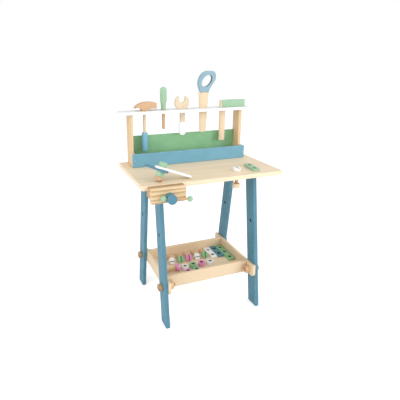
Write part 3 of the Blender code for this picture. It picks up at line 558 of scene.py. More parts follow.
# %% Edge group
def make_edges():
    inputs = [("Worn", "Float", 0.0), ("Place", "Vector", (0, 0, 0)), ("Amount", "Float", 0.5)]
    tree, given, out = new_group("handled edges", inputs, [("Mask", "Float")])
    patches = ramp(tree, stretched_noise(tree, given["Place"], (75.0, 75.0, 75.0), 3.0), 0.38, 0.68)
    mask = sums(tree, "MULTIPLY", sums(tree, "MULTIPLY", patches, given["Worn"]), given["Amount"])
    feed(tree, out, {"Mask": mask})
    return tree


edges = make_edges()


# %% Finishes
# Painted shade for the walls of holes and slots: this share of a finish's colour is left there.
HOLE_SHADE = (0.30, 0.30, 0.30, 1)  # how much of a finish's colour is left inside a hole


def sources(tree):
    """The attribute and coordinate outputs that a finish reads: grain coordinates, edge mark, place."""
    grain = add(tree, "Attribute", {"attribute_name": "timber"}).outputs["Vector"]
    worn = add(tree, "Attribute", {"attribute_name": "worn"}).outputs["Fac"]
    return grain, worn, add(tree, "TexCoord").outputs["Object"]


def new_finish(name):
    made = bpy.data.materials.new(name)
    made.use_nodes = True
    return made, made.node_tree, made.node_tree.nodes["Principled BSDF"].inputs


def lay_on(tree, inputs, colour, height, roughness, depth):
    """Connects a finish to the shader. depth is how many metres a height of one stands for."""
    bump = add(tree, "Bump", {}, {"Height": height, "Distance": depth, "Strength": 1.0})
    feed(tree, inputs, {"Base Color": colour, "Roughness": roughness, "Normal": bump})


def lacquered(name, pale, dark, ring=0.004, contrast=0.4, fibre=0.3, warp=0.014):
    made, tree, inputs = new_finish(name)
    grain, worn, place = sources(tree)
    values = {"Timber": grain, "Pale": (*pale, 1), "Dark": (*dark, 1)}
    values |= {"Ring Width": ring, "Contrast": contrast, "Fibre": fibre, "Warp": warp}
    wood = group_in(tree, timber, values)
    mask = group_in(tree, edges, {"Worn": worn, "Place": place, "Amount": 0.35})
    lighter = tuple(min(1.0, c * 1.12) for c in pale)
    colour = blend_colour(tree, mask, wood.outputs["Color"], (*lighter, 1))
    lay_on(tree, inputs, colour, wood.outputs["Height"], wood.outputs["Roughness"], 0.00006)
    feed(tree, inputs, {"Coat Weight": 0.12, "Coat Roughness": 0.35})
    return made


def painted(name, colour, bare_wood=(0.80, 0.66, 0.46), wear=0.22):
    made, tree, inputs = new_finish(name)
    grain, worn, place = sources(tree)
    film = group_in(tree, paint, {"Timber": grain, "Place": place, "Paint": (*colour, 1)})
    mask = group_in(tree, edges, {"Worn": worn, "Place": place, "Amount": wear})
    shown = blend_colour(tree, mask, film.outputs["Color"], (*bare_wood, 1))
    lay_on(tree, inputs, shown, film.outputs["Height"], film.outputs["Roughness"], 0.00004)
    feed(tree, inputs, {"Specular IOR Level": 0.35})
    return made


def painted_shade_of(finish):
    """The same finish, darker and duller, as painted shade on the walls of holes and slots. Each is made
    once.
    """
    made = bpy.data.materials.get(finish.name + " inside")
    if made is None:
        made = finish.copy()
        made.name = finish.name + " inside"
        tree = made.node_tree
        inputs = tree.nodes["Principled BSDF"].inputs
        darker = blend_colour(tree, 1.0, inputs["Base Color"].links[0].from_socket, HOLE_SHADE, "MULTIPLY")
        feed(tree, inputs, {"Base Color": darker, "Specular IOR Level": 0.15, "Coat Weight": 0.0})
    return made


def plated(name, colour):
    """Bare metal, a little uneven in its shine."""
    made, tree, inputs = new_finish(name)
    _, _, place = sources(tree)
    uneven = stretched_noise(tree, place, (900.0, 900.0, 900.0))
    tone = ramp(tree, uneven, 0.3, 0.7)
    shade = tuple(c * 0.85 for c in colour)
    shown = blend_colour(tree, tone, (*colour, 1), (*shade, 1))
    rough = sums(tree, "MULTIPLY_ADD", uneven, 0.15, 0.25)
    feed(tree, inputs, {"Base Color": shown, "Roughness": rough, "Metallic": 1.0})
    return made


def dipped(name, colour, line, pale, dark, ring, contrast, fibre):
    """Lacquered wood above a level line, and paint below. The line is a height above the floor, at rest."""
    made = lacquered(name, pale, dark, ring, contrast, fibre)
    tree = made.node_tree
    inputs = tree.nodes["Principled BSDF"].inputs
    grain, _, place = sources(tree)
    film = group_in(tree, paint, {"Timber": grain, "Place": place, "Paint": (*colour, 1)})
    height = add(tree, "SeparateXYZ", {}, {0: place}).outputs["Z"]
    ripple = stretched_noise(tree, place, (160.0, 160.0, 160.0))
    level = sums(tree, "MULTIPLY_ADD", ripple, 0.0008, height)
    covered = ramp(tree, level, line + 0.0002, line + 0.0006, 1.0, 0.0)
    wood_colour = inputs["Base Color"].links[0].from_socket
    feed(tree, inputs, {"Base Color": blend_colour(tree, covered, wood_colour, film.outputs["Color"])})
    return made


# %% Colours of this bench
birch = lacquered("pale birch", (0.823, 0.660, 0.455), (0.66, 0.48, 0.29), 0.0030, 0.22, 0.22)
pine = lacquered("pale pine", (0.740, 0.580, 0.390), (0.56, 0.38, 0.20), 0.0042, 0.38, 0.26)
warm_pine = lacquered("warm pine", (0.720, 0.526, 0.310), (0.50, 0.30, 0.12), 0.0055, 0.55, 0.26)
striped_pine = lacquered("striped pine", (0.72, 0.54, 0.32), (0.40, 0.22, 0.08), 0.0120, 0.80, 0.28, 0.040)
# The fixed jaw's brown pine is partly wood colour and partly painted shade from the worktop above it.
brown_pine_and_shade = lacquered("brown pine and shade", (0.55, 0.34, 0.16), (0.33, 0.17, 0.06), 0.0095, 0.80, 0.28, 0.024)
beech = lacquered("steamed beech", (0.690, 0.440, 0.240), (0.53, 0.31, 0.16), 0.0024, 0.25, 0.40)
hammer_beech = lacquered("hammer beech", (0.610, 0.375, 0.205), (0.46, 0.26, 0.13), 0.0024, 0.25, 0.40)
brown_beech = lacquered("brown beech", (0.50, 0.30, 0.15), (0.35, 0.19, 0.08), 0.0024, 0.30, 0.40)
driver_beech = lacquered("orange beech", (0.58, 0.36, 0.19), (0.42, 0.23, 0.11), 0.0020, 0.30, 0.40)
steel = plated("zinc-plated steel", (0.70, 0.71, 0.73))
blue = painted("leg blue paint", (0.076, 0.222, 0.298))
grip_blue = painted("grip blue paint", (0.190, 0.450, 0.590))
light_blue = painted("board blue paint", (0.158, 0.365, 0.470))
ring_blue = painted("ring blue paint", (0.245, 0.385, 0.450))
green = painted("green paint", (0.255, 0.505, 0.265))
mint = painted("mint paint", (0.322, 0.505, 0.325))
pink = painted("pink paint", (0.760, 0.280, 0.510))
white = painted("white paint", (0.87, 0.86, 0.83), wear=0.08)
DIP_LINE = 0.6417
dip_white = (0.86, 0.87, 0.87)
dip_wood = ((0.68, 0.55, 0.38), (0.54, 0.38, 0.22), 0.003, 0.25, 0.25)
dipped_wood = dipped("birch dipped in white", dip_white, DIP_LINE, *dip_wood)
print("finishes:", [m.name for m in bpy.data.materials])

# %% [markdown]
# ## The table
#
# The worktop is one glued panel of pale birch with softly rounded corners and a hole for the table bolt.
# Four painted legs splay out towards the floor. A leg is a slanted plank, cut level at both ends, so its
# outline is a parallelogram seen from the side; the frame's box gives its four corners. Two battens hide
# under the top and take the screws. Sanding leaves every long edge a little round, and that is what
# catches the light.

# %% Measures the pieces share
GAP = 0.0003  # air between touching pieces
SHAFT = 0.006
BORE = 0.0067
HEAD = 0.0125
HEAD_THICK = 0.012
SIDED_SHARE = 0.93  # a six-sided head's reach, as a share of a round one's
NUT_HALF = 0.012
NUT_THICK = 0.015
LEG_BREADTH = 0.050
TRAY_BOLT_HEIGHT = 0.133
SPARE_HOLE_HEIGHT = 0.310
TABLE_BOLT = (0.100, bench_y - 0.095)
TABLE_BOLT_LENGTH = 0.058
TABLE_STRIP = (0.1625, bench_y - 0.086)
TABLE_STRIP_HEADING = 83  # degrees from +X
BUILD = (-0.185, bench_y - 0.117)
BUILD_HEADING = 15  # the way it leans, in degrees from +X
BUILD_BOLT_LENGTH = 0.044
top_low, top_high = box("worktop")
print("worktop", np.round(top_high - top_low, 4))

# %% Worktop and battens
top_outline = rectangle(top_low[0], top_high[0], top_low[1], top_high[1], 0.008, 10)
table_hole = oval(TABLE_BOLT, BORE, BORE)
piece("worktop", plate(top_outline, top_low[2], top_high[2], [table_hole], 0.0020, 6), birch)
for side in ("left", "right"):
    piece("cleat_" + side, board("cleat_" + side), pine)


# %% Legs
def leg_middle(node, height):
    """Where the middle of a slanted leg stands at a height: a straight line between its two level cuts."""
    low, high = box(node)
    foot, top = low[1] + LEG_BREADTH / 2, high[1] - LEG_BREADTH / 2
    if "rear" in node:
        foot, top = high[1] - LEG_BREADTH / 2, low[1] + LEG_BREADTH / 2
    return foot + (top - foot) * (height - low[2]) / (high[2] - low[2])


def leg(node):
    low, high = box(node)
    half = LEG_BREADTH / 2
    foot, top = leg_middle(node, low[2]), leg_middle(node, high[2])
    corners = [(foot - half, low[2]), (foot + half, low[2]), (top + half, high[2]), (top - half, high[2])]
    holes = [oval((leg_middle(node, z), z), BORE, BORE) for z in (TRAY_BOLT_HEIGHT, SPARE_HOLE_HEIGHT)]
    return stood(plate(fillet(corners, 0.002), low[0], high[0], holes, 0.0018, grain="v"), "X")


legs = [f"leg_{end}_{side}" for end in ("front", "rear") for side in ("left", "right")]
for name in legs:
    piece(name, leg(name), blue)

# %% [markdown]
# ## The tray
#
# The tray is a box of pale pine boards with a thin floor. Its two sides run on past the box to the legs,
# and a toy bolt goes through each leg and ear into a wooden nut. The ears' lower corners are rounded off.

# %% Tray
EAR_ROUND = (0.012, 0.012, 0.002, 0.002)  # corners of a side, from the lower front one round
for side in ("left", "right"):
    node = "tray_side_" + side
    low, high = box(node)
    corners = [(low[1], low[2]), (high[1], low[2]), (high[1], high[2]), (low[1], high[2])]
    ear = fillet(corners, EAR_ROUND, 8)
    reaches = [leg_middle(f"leg_{end}_{side}", TRAY_BOLT_HEIGHT) for end in ("front", "rear")]
    holes = [oval((y, TRAY_BOLT_HEIGHT), BORE, BORE) for y in reaches]
    piece(node, stood(plate(ear, low[0], high[0], holes), "X"), pine)
for end in ("front", "rear"):
    piece("tray_board_" + end, board("tray_board_" + end), pine)
piece("tray_floor", board("tray_floor", 0.0004, 0.0006), birch)

# %% [markdown]
# ## Toy bolts and nuts
#
# Bolts and nuts are turned from beech. A bolt is one run of rows from the middle of the head's outer face,
# round both rims, along the threaded shaft and over its tip. The thread is a helix taken out of the
# radius: the height decides how far round the groove has wound. It fades in and out over one turn, as a
# cut thread does. The driver's slot is milled across the head with a cutter whose shoulders flare, and
# that leaves eased lips. A nut is a closed ring of rows whose outer ones are six-sided and whose inner
# ones are round.

# %% Bolt and nut surfaces
THREAD_PITCH = 0.006
THREAD_DEPTH = 0.0009
THREAD_END = 0.001  # plain wood left at either end
SLOT_HALF = 0.0013
SLOT_DEPTH = 0.003
SLOT_LIP = 0.0004


def rounded_rod(radius, low, high, ease=0.0012, rows_apart=0.004):
    """Rows up a round rod whose upper end is eased and closed."""
    count = max(2, round((high - ease - low) / rows_apart))
    wall = [(radius, z) for z in np.linspace(low, high - ease, count, endpoint=False)]
    return wall + bead(radius, high - ease, ease, 0, 90) + [(0.0, high)]


def head_rows(reach, low, high, sided=0.0, ease=0.0010):
    """Rows from the middle of the outer face, at low, out and round both rims to the face at high."""
    outer = bead(reach, low + ease, ease, -90, 0, 4, sided)
    inner = bead(reach, high - ease, ease, 0, 90, 4, sided)
    flat = reach - ease - FLAT_RING
    return [(0.0, low, sided), (flat, low, sided)] + outer + inner + [(flat, high, sided)]


def head_reach(sided):
    return HEAD * (SIDED_SHARE if sided else 1.0)


def bolt(length, sided=0.0):
    """A head from -HEAD_THICK to 0 and a threaded shaft from there to length, as two blocks of faces."""
    head = turned(head_rows(head_reach(sided), -HEAD_THICK, 0.0, sided) + [(SHAFT, 0.0)])
    thread = (THREAD_PITCH, THREAD_DEPTH, THREAD_END, length - THREAD_END)
    shaft = turned(rounded_rod(SHAFT, 0.0, length, rows_apart=THREAD_PITCH / 14), thread=thread)
    return joined(head, shaft)


def prism(outline, low, high):
    """A plain closed prism from low to high in w, for cutting or for joining."""
    count = len(outline)
    ends = [np.column_stack([outline, np.full(count, w)]) for w in (low, high)]
    caps = [np.arange(count)[None], np.arange(count)[None] + count]
    points = np.concatenate(ends)
    return points, [quads(2, count)] + caps, np.zeros(len(points)), points


def slot_cutter():
    """The slot's section: shoulders x = half + lip (1 - sin a), z = lip (1 - cos a), walls and a floor."""
    a = np.linspace(0, np.pi / 2, 5)
    x = np.concatenate([[SLOT_HALF + SLOT_LIP], SLOT_HALF + SLOT_LIP * (1 - np.sin(a)), [SLOT_HALF]])
    z = np.concatenate([[-0.002], SLOT_LIP * (1 - np.cos(a)), [SLOT_DEPTH]]) - HEAD_THICK
    outline = np.column_stack([np.concatenate([x, -x[::-1]]), np.concatenate([z, z[::-1]])])
    return stood(prism(outline, -HEAD - 0.002, HEAD + 0.002), "Y")


def nut(thick=NUT_THICK, ease=0.0009):
    """A ring of rows: up the six-sided wall, in over the top, down the bore, and out under the bottom."""
    outer = bead(NUT_HALF, ease, ease, -90, 0, 4, 1.0) + bead(NUT_HALF, thick - ease, ease, 0, 90, 4, 1.0)
    flat = NUT_HALF - ease - FLAT_RING
    a = np.radians(np.linspace(90, 0, 4))
    lip = [(BORE + ease * (1 - math.cos(x)), thick - ease * (1 - math.sin(x)), 0.0) for x in a[:-1]]
    # The bore's wall is marked so that it gets painted shade.
    lip += [(BORE, thick - ease, 0.0, 0.0, BORED)]
    under = [(row[0], thick - row[1], *row[2:]) for row in lip[::-1]]
    rows = outer + [(flat, thick, 1.0), (BORE + ease + FLAT_RING, thick, 0.0)] + lip + under
    return turned(rows + [(BORE + ease + FLAT_RING, 0.0, 0.0), (flat, 0.0, 1.0)], ring=True)


# %% Where they stand
def facing(axis):
    """The rotation that carries local +Z to a direction such as "+X"."""
    degrees, about = {"+X": (90, "Y"), "-X": (-90, "Y"), "+Y": (-90, "X"), "-Z": (180, "X")}[axis]
    return Matrix.Rotation(math.radians(degrees), 4, about)


def at(x, y, z, turn=Matrix.Identity(4)):
    return Matrix.Translation((x, y, z)) @ turn


def toy_bolt(node, length, finishes, where, sided=0.0):
    return piece(node, placed(bolt(length, sided), where), finishes, [placed(slot_cutter(), where)])


def toy_nut(node, where, finish, name=None):
    return piece(node, placed(nut(), where), finish, name=name)


# %% Tray bolts and their nuts
TRAY_BOLT_LENGTH = 0.047
for side, into, sign in (("left", "+X", -1), ("right", "-X", 1)):
    for end in ("front", "rear"):
        name = f"{end}_{side}"
        y = leg_middle("leg_" + name, TRAY_BOLT_HEIGHT)
        outer = box("leg_" + name)[sign > 0][0] + sign * GAP
        inner = box("tray_side_" + side)[sign < 0][0] - sign * GAP
        through, inside = (at(x, y, TRAY_BOLT_HEIGHT, facing(into)) for x in (outer, inner))
        toy_bolt("tray_bolt_" + name, TRAY_BOLT_LENGTH, brown_beech, through)
        toy_nut("tray_nut_" + name, inside, beech)

# %% [markdown]
# ## The rack
#
# Two posts stand on feet that reach forward under a blue front board. A green panel closes the back, and
# together they make a trough for small things. The white shelf on top has a round hole or a slot for each
# tool. The posts are single L-shaped boards, and the blue board is screwed to them near each end.

# %% Rack boards
FOOT_REACH = 0.020  # how far a foot stands in front of its post
for side in ("left", "right"):
    node = "rack_side_" + side
    low, high = box(node)
    front, step = low[1] + FOOT_REACH, box("trough_front_board")[1][2]
    corners = [(low[1], low[2]), (high[1], low[2]), (high[1], high[2])]
    corners += [(front, high[2]), (front, step), (low[1], step)]
    piece(node, stood(plate(fillet(corners, 0.0015), low[0], high[0], grain="v"), "X"), warm_pine)
piece("rack_back_panel", board("rack_back_panel", 0.0008, 0.0010), green)
piece("trough_front_board", board("trough_front_board"), light_blue)

# %% Shelf
END_BLOCK = (0.0034, 0.0090)  # where the square's end block starts and ends
HEAD_OFFSET = 0.0027  # the wrench's head stands to the left of its handle
HAMMER_HOLE = 0.0115
DRIVER_HOLE = 0.0065
WRENCH_SLOT = (0.0290, 0.0115)  # width and depth
SAW_SLOT = (0.0319, 0.0080)
SQUARE_SLOT = (0.0245, 0.0100)
shelf_low, shelf_high = box("rack_shelf")
tools_y = (shelf_low[1] + shelf_high[1]) / 2
tool_z = shelf_high[2] + GAP
hammer_x = sum(box("hammer_grip"))[0] / 2
screwdriver_x = sum(box("screwdriver_shaft"))[0] / 2
wrench_x = sum(box("wrench"))[0] / 2 + HEAD_OFFSET
saw_x = box("saw_blade")[0][0] + 0.0215
square_x = box("square_blade")[0][0] - END_BLOCK[0]


def tool_slot(middle, width, depth):
    near, far = tools_y - depth / 2, tools_y + depth / 2
    return rectangle(middle - width / 2, middle + width / 2, near, far, 0.002, 4)


round_holes = ((hammer_x, HAMMER_HOLE), (screwdriver_x, DRIVER_HOLE))
slots = ((wrench_x, *WRENCH_SLOT), (saw_x - 0.0017, *SAW_SLOT), (square_x + 0.0142, *SQUARE_SLOT))
tool_holes = [oval((x, tools_y), radius, radius) for x, radius in round_holes]
tool_holes += [tool_slot(*slot) for slot in slots]
shelf_outline = rectangle(shelf_low[0], shelf_high[0], shelf_low[1], shelf_high[1], 0.003)
piece("rack_shelf", plate(shelf_outline, shelf_low[2], shelf_high[2], tool_holes, 0.0014), white)

# %% [markdown]
# ### Two wood screws
#
# A small countersunk screw holds the blue board near each end. Its head is turned like a bolt's, a little
# domed, and two crossed bars cut the recess. These are not moving parts, so the frame leaves them out.

# %% Screws in the front board
SCREW = 0.0026
SCREW_INSET = 0.007  # from the board's ends
SCREW_PROUD = 0.00015  # how far the heads stand out of the board
board_low, board_high = box("trough_front_board")
screw_rows = [(0.0, 0.0), (0.0012, 0.00005), (0.0020, 0.0002), (SCREW, 0.0006)]
screw_rows += [(0.0016, 0.0020), (0.0, 0.0020)]
bars = [rectangle(-a, a, -b, b, 0.0001, 1) for a, b in ((0.0003, 0.0016), (0.0016, 0.0003))]
for side, x in (("left", board_low[0] + SCREW_INSET), ("right", board_high[0] - SCREW_INSET)):
    where = at(x, board_low[1] - SCREW_PROUD, (board_low[2] + board_high[2]) / 2, facing("+Y"))
    cross = [placed(prism(bar, -0.001, 0.0010), where) for bar in bars]
    screw = placed(turned(screw_rows, 32), where)
    piece("trough_front_board", screw, steel, cross, name="board_screw_" + side)

# %% [markdown]
# ## The vise
#
# The vise has a fixed jaw let into the front edge of the top, and a moving jaw on two dowels. Turning the
# blue screw draws the moving jaw in. The jaws are sawn from strongly striped pine, and the moving one has
# big round edges. The fixed jaw's finish is darker brown, partly its wood and partly painted shade from the
# top above it. The cross bar slides through a hole in the screw's head, between two mint balls.

# %% Jaws
SPINDLE = 0.007
GUIDE = 0.004
GUIDE_SPACING = 0.038
SLIDING_FIT = 0.0005
GUIDE_SOCKET = 0.009
JAW_CUT = 0.014  # the fixed jaw's cut-off lower corners
screw_low, screw_high = box("vise_screw")
vise_x = (screw_low[0] + screw_high[0]) / 2
vise_z = (screw_low[2] + screw_high[2]) / 2
guides = (("left", vise_x - GUIDE_SPACING), ("right", vise_x + GUIDE_SPACING))


def rod_cut(radius, y_low, y_high, x):
    """A round cutter along Y, level with the vise's screw."""
    return stood(prism(oval((x, vise_z), radius, radius), y_low, y_high), "Y")


low, high = box("vise_fixed_jaw")
jaw_corners = [(low[0] + JAW_CUT, low[2]), (high[0] - JAW_CUT, low[2]), (high[0], low[2] + JAW_CUT)]
jaw_corners += [(high[0], high[2]), (low[0], high[2]), (low[0], low[2] + JAW_CUT)]
bores = [oval((vise_x, vise_z), SPINDLE + SLIDING_FIT, SPINDLE + SLIDING_FIT)]
bores += [oval((x, vise_z), GUIDE + SLIDING_FIT, GUIDE + SLIDING_FIT, steps=32) for _, x in guides]
back, above = high[1] + CUTTER_REACH, high[2] + CUTTER_REACH
rebate = rectangle(top_low[1] - GAP, back, top_low[2] - GAP, above, 0.0004, 1)
rebate = stood(prism(rebate, low[0] - CUTTER_REACH, high[0] + CUTTER_REACH), "X")
fixed = stood(plate(fillet(jaw_corners, 0.002), low[1], high[1], bores), "Y")
# Its dark brown finish is partly painted shade from the worktop above it.
piece("vise_fixed_jaw", fixed, brown_pine_and_shade, [rebate])

low, high = box("vise_moving_jaw")
jaw = plate(rectangle(low[0], high[0], low[2], high[2], 0.004, 8), low[1], high[1], bores[:1], 0.0035, 8)
sockets = [rod_cut(GUIDE + GAP, high[1] - GUIDE_SOCKET, high[1] + CUTTER_REACH, x) for _, x in guides]
piece("vise_moving_jaw", stood(jaw, "Y"), striped_pine, sockets)

# %% Dowels, screw, bar and balls
SCREW_HEAD = 0.0148
SCREW_HEAD_LENGTH = 0.0279
SPINDLE_PITCH = 0.010
BAR = 0.0038
BALL = 0.0087
SOCKET = 0.005
NEAR_BALL = SCREW_HEAD + BALL + GAP
FAR_BALL = 0.060
BAR_TILT = 7.5  # degrees from level
BAR_PLAY = 0.0008
for side, x in guides:
    low, high = box("vise_guide_rod_" + side)
    rod = turned([(0.0, 0.0)] + rounded_rod(GUIDE, 0.0, high[1] - low[1], 0.0008), 32)
    piece("vise_guide_rod_" + side, placed(rod, at(x, low[1], vise_z, facing("+Y"))), birch)

screw_back = screw_low[1] + SCREW_HEAD_LENGTH
screw_length = screw_high[1] - screw_back
screw_head = turned(head_rows(SCREW_HEAD, -SCREW_HEAD_LENGTH, 0.0, ease=0.0018) + [(SPINDLE, 0.0)], 80)
thread = (SPINDLE_PITCH, 0.0014, 0.018, screw_length - 0.002)
spindle = turned(rounded_rod(SPINDLE, 0.0, screw_length, 0.0015, SPINDLE_PITCH / 20), 80, thread=thread)
bar_y = (screw_back + screw_low[1]) / 2
bar_place = at(vise_x, bar_y, vise_z, Matrix.Rotation(math.pi / 2 + math.radians(BAR_TILT), 4, "Y"))
bar_bore = oval((0.0, 0.0), BAR + BAR_PLAY, BAR + BAR_PLAY, steps=40)
bar_hole = placed(prism(bar_bore, -0.03, 0.03), bar_place)
screw_place = at(vise_x, screw_back, vise_z, facing("+Y"))
piece("vise_screw", placed(joined(screw_head, spindle), screw_place), (blue, birch), [bar_hole])

bar_low = -NEAR_BALL + BALL - SOCKET
bar_high = FAR_BALL - BALL + SOCKET
bar = turned([(0.0, bar_low)] + rounded_rod(BAR, bar_low, bar_high, 0.0004), 32)
piece("vise_bar", placed(bar, bar_place), driver_beech)


def ball(middle, side):
    """A sphere (R sin a, middle - side R cos a) from the rim of its socket round to the far pole."""
    bore = BAR + GAP
    start = math.asin(bore / BALL)
    a = np.linspace(start, np.pi, 32)
    rim = middle + side * BALL * math.cos(start)
    floor = middle + side * (BALL - SOCKET - GAP)
    rows = [(0.0, floor), (bore, floor), (bore, rim - side * 0.0003)]
    rows += [(BALL * math.sin(x), middle + side * BALL * math.cos(x)) for x in a]
    return turned(rows, 48)


piece("vise_ball_left", placed(ball(-NEAR_BALL, 1), bar_place), mint)
piece("vise_ball_right", placed(ball(FAR_BALL, -1), bar_place), mint)

# %% [markdown]
# ## The hanging tools
#
# Every tool stands on the shelf by its widest part and hangs through its hole. The flat ones are sawn from
# board: an outline of straight lines and cubic curves, given a thickness and eased edges. The handles are
# turned. Where one part is glued into another, there is a real socket.

# %% Hammer
def turned_between(node):
    """Height of a part's lower and upper end above the place where the tools stand."""
    low, high = box(node)
    return low[2] - tool_z, high[2] - tool_z


NECK = 0.0100
HEAD_TOP = 0.0300
head_curves = [
    ((NECK + 0.002, 0.006), (0.020, 0.007), (0.0414, 0.0065)),
    ((0.0420, 0.0066), (0.0424, 0.0068), (0.0424, 0.0080)),
    ((0.0424, 0.0140), (0.0424, 0.0190), (0.0424, 0.0246)),
    ((0.0424, 0.0254), (0.0420, 0.0258), (0.0410, 0.0262)),
    ((0.028, HEAD_TOP), (0.020, HEAD_TOP), (NECK, HEAD_TOP)),
    ((-0.010, HEAD_TOP), (-0.026, 0.024), (-0.0364, 0.0109)),
    ((-0.0370, 0.0100), (-0.0368, 0.0092), (-0.0356, 0.0090)),
    ((-0.028, 0.0135), (-0.013, 0.012), (-NECK, 0.0)),
]
head_outline = sweep_of((NECK, 0.0), *head_curves, steps=9)
handle_low, handle_high = turned_between("hammer_handle")
grip_low, grip_high = turned_between("hammer_grip")
HANDLE = 0.005
HAMMER_HALF = 0.0122  # half its depth, front to back
GRIP = 0.0105
GRIP_EASE = 0.003
GRIP_LIP = 0.0006
hammer_place = at(hammer_x, tools_y, tool_z)
bore = HANDLE + GAP
eye = placed(prism(oval((0.0, 0.0), bore, bore), -CUTTER_REACH, handle_high + GAP), hammer_place)
head = stood(plate(head_outline, -HAMMER_HALF, HAMMER_HALF), "Y")
piece("hammer_head", placed(head, hammer_place), hammer_beech, [eye])

handle = turned([(0.0, handle_low)] + rounded_rod(HANDLE, handle_low, handle_high, 0.0006), 40)
piece("hammer_handle", placed(handle, hammer_place), pine)
grip_rows = [(0.0, handle_low - GAP), (bore, handle_low - GAP)]
grip_rows += [(bore, grip_high - GRIP_LIP), (bore + GRIP_LIP, grip_high)]
grip_rows += bead(GRIP, grip_high - GRIP_EASE, GRIP_EASE, 90, 0, 6)
grip_rows += bead(GRIP, grip_low + GRIP_EASE, GRIP_EASE, 0, -90, 6) + [(0.0, grip_low)]
piece("hammer_grip", placed(turned(grip_rows, 56), hammer_place), grip_blue)

# %% [markdown]
# The screwdriver's handle is a lathe profile of four cubic curves. Eight flutes fade in above the neck and
# out below the dome, because the groove depth is itself a smooth function of the height.

# %% Screwdriver
DRIVER = 0.0055
shaft_low, shaft_high = turned_between("screwdriver_shaft")
driver_curves = [
    ((0.0084, 0.0), (0.0088, 0.0004), (0.0088, 0.0012)),
    ((0.0088, 0.0060), (0.0086, 0.0100), (0.0090, 0.0160)),
    ((0.0096, 0.0240), (0.0119, 0.0290), (0.0120, 0.0420)),
    ((0.0121, 0.0560), (0.0120, 0.0640), (0.0113, 0.0695)),
    ((0.0104, 0.0755), (0.0070, 0.0780), (0.0000, 0.0780)),
]
profile = sweep_of((0.0076, 0.0), *driver_curves, steps=12)
FLUTES_DEEP = 0.09  # as a share of the radius
FLUTES = (0.020, 0.0735)  # where they start and end
fade_in = np.clip((profile[:, 1] - FLUTES[0]) / 0.012, 0, 1)
fade_out = np.clip((FLUTES[1] - profile[:, 1]) / 0.010, 0, 1)
flutes = FLUTES_DEEP * fade_in * fade_out
bore = DRIVER + GAP
rows = [(0.0, shaft_high + GAP), (bore, shaft_high + GAP), (bore, 0.0)]
rows += [(r, z, 0.0, g) for (r, z), g in zip(profile, flutes)]
driver_place = at(screwdriver_x, tools_y, tool_z)
piece("screwdriver_handle", placed(turned(rows, 96), driver_place), mint)
tip = [(0.0, shaft_low), (DRIVER * 0.5, shaft_low)]
tip += [(DRIVER * 0.62, shaft_low + 0.0004), (DRIVER, shaft_low + 0.004)]
shaft = turned(tip + rounded_rod(DRIVER, shaft_low + 0.0044, shaft_high, 0.0006), 40)
piece("screwdriver_shaft", placed(shaft, driver_place), driver_beech)

# %% [markdown]
# The wrench is one board whose handle was dipped in white paint, so its finish changes at a level line.

# %% Wrench
NECK_HALF = 0.0092  # half widths of the neck, the head and the mouth between the jaws
HEAD_HALF = 0.0273
JAW = 0.0112
TIP = 0.0450
JAW_MIDDLE = 0.0340
JAW_BOTTOM = JAW_MIDDLE - JAW
CIRCLE = 0.55  # a cubic's handle for a quarter circle, as a share of its radius
PALM = 0.0128  # half the width of the dipped end
WRENCH_HALF = 0.0045
end, _ = turned_between("wrench")
dip = DIP_LINE - tool_z
right_side = [
    ((0.0071, end), (PALM, end + 0.0057), (PALM, end + PALM)),
    ((PALM, dip - 0.020), (PALM, dip - 0.014), (PALM, dip - 0.010)),
    ((PALM - 0.0006, dip - 0.005), (NECK_HALF, dip - 0.004), (NECK_HALF, dip + 0.002)),
    ((NECK_HALF, dip + 0.02), (NECK_HALF, -0.01), (NECK_HALF, 0.0)),
    ((NECK_HALF + 0.003, 0.0), (NECK_HALF + 0.005, 0.0), (NECK_HALF + 0.006, 0.0002)),
    ((0.022, 0.004), (HEAD_HALF, 0.010), (HEAD_HALF, 0.0220)),
    ((HEAD_HALF, 0.034), (0.022, 0.041), (JAW + 0.0050, TIP - 0.0003)),
    ((JAW + 0.0030, TIP), (JAW, TIP), (JAW, TIP - 0.002)),
    ((JAW, 0.0400), (JAW, 0.0370), (JAW, JAW_MIDDLE)),
    ((JAW, JAW_MIDDLE - CIRCLE * JAW), (CIRCLE * JAW, JAW_BOTTOM), (0.0, JAW_BOTTOM)),
]
right_half = sweep_of((0.0, end), *right_side, steps=8)
left_half = right_half[-2:0:-1] * (-1, 1)
wrench_outline = np.vstack([right_half, left_half])
wrench_outline[:, 0] -= HEAD_OFFSET * np.clip(wrench_outline[:, 1] / 0.002, 0, 1)
wrench = stood(plate(wrench_outline, -WRENCH_HALF, WRENCH_HALF, ease=0.0014, grain="v"), "Y")
piece("wrench", placed(wrench, at(wrench_x, tools_y, tool_z)), dipped_wood)

# %% Saw
JOINT = 0.0567
SAW_NECK = 0.0165
handle_curves = [
    ((0.0185, JOINT + 0.012), (0.0300, 0.0820), (0.0375, 0.0915)),
    ((0.0430, 0.0990), (0.0440, 0.1040), (0.0440, 0.1125)),
    ((0.0440, 0.1235), (0.0375, 0.1308), (0.0260, 0.1308)),
    ((0.0205, 0.1312), (0.0150, 0.1312), (0.0090, 0.1305)),
    ((-0.0100, 0.1285), (-0.0252, 0.1080), (-0.0252, 0.0890)),
    ((-0.0252, 0.0780), (-0.0205, 0.0690), (-SAW_NECK, JOINT)),
]
saw_outline = sweep_of((SAW_NECK, JOINT), *handle_curves, steps=16)
finger_hole = oval((0.0088, 0.0963), long_half=0.0242, short_half=0.0157, tilt=47.0, steps=72)
TONGUE = 0.010
BLADE_HALF = 0.003
SAW_HALF = 0.007
socket_high = JOINT + TONGUE + GAP
socket = rectangle(-TONGUE - GAP, TONGUE + GAP, JOINT - CUTTER_REACH, socket_high, 0.0004, 1)
saw_place = at(saw_x, tools_y, tool_z)
socket = placed(stood(prism(socket, -BLADE_HALF - GAP, BLADE_HALF + GAP), "Y"), saw_place)
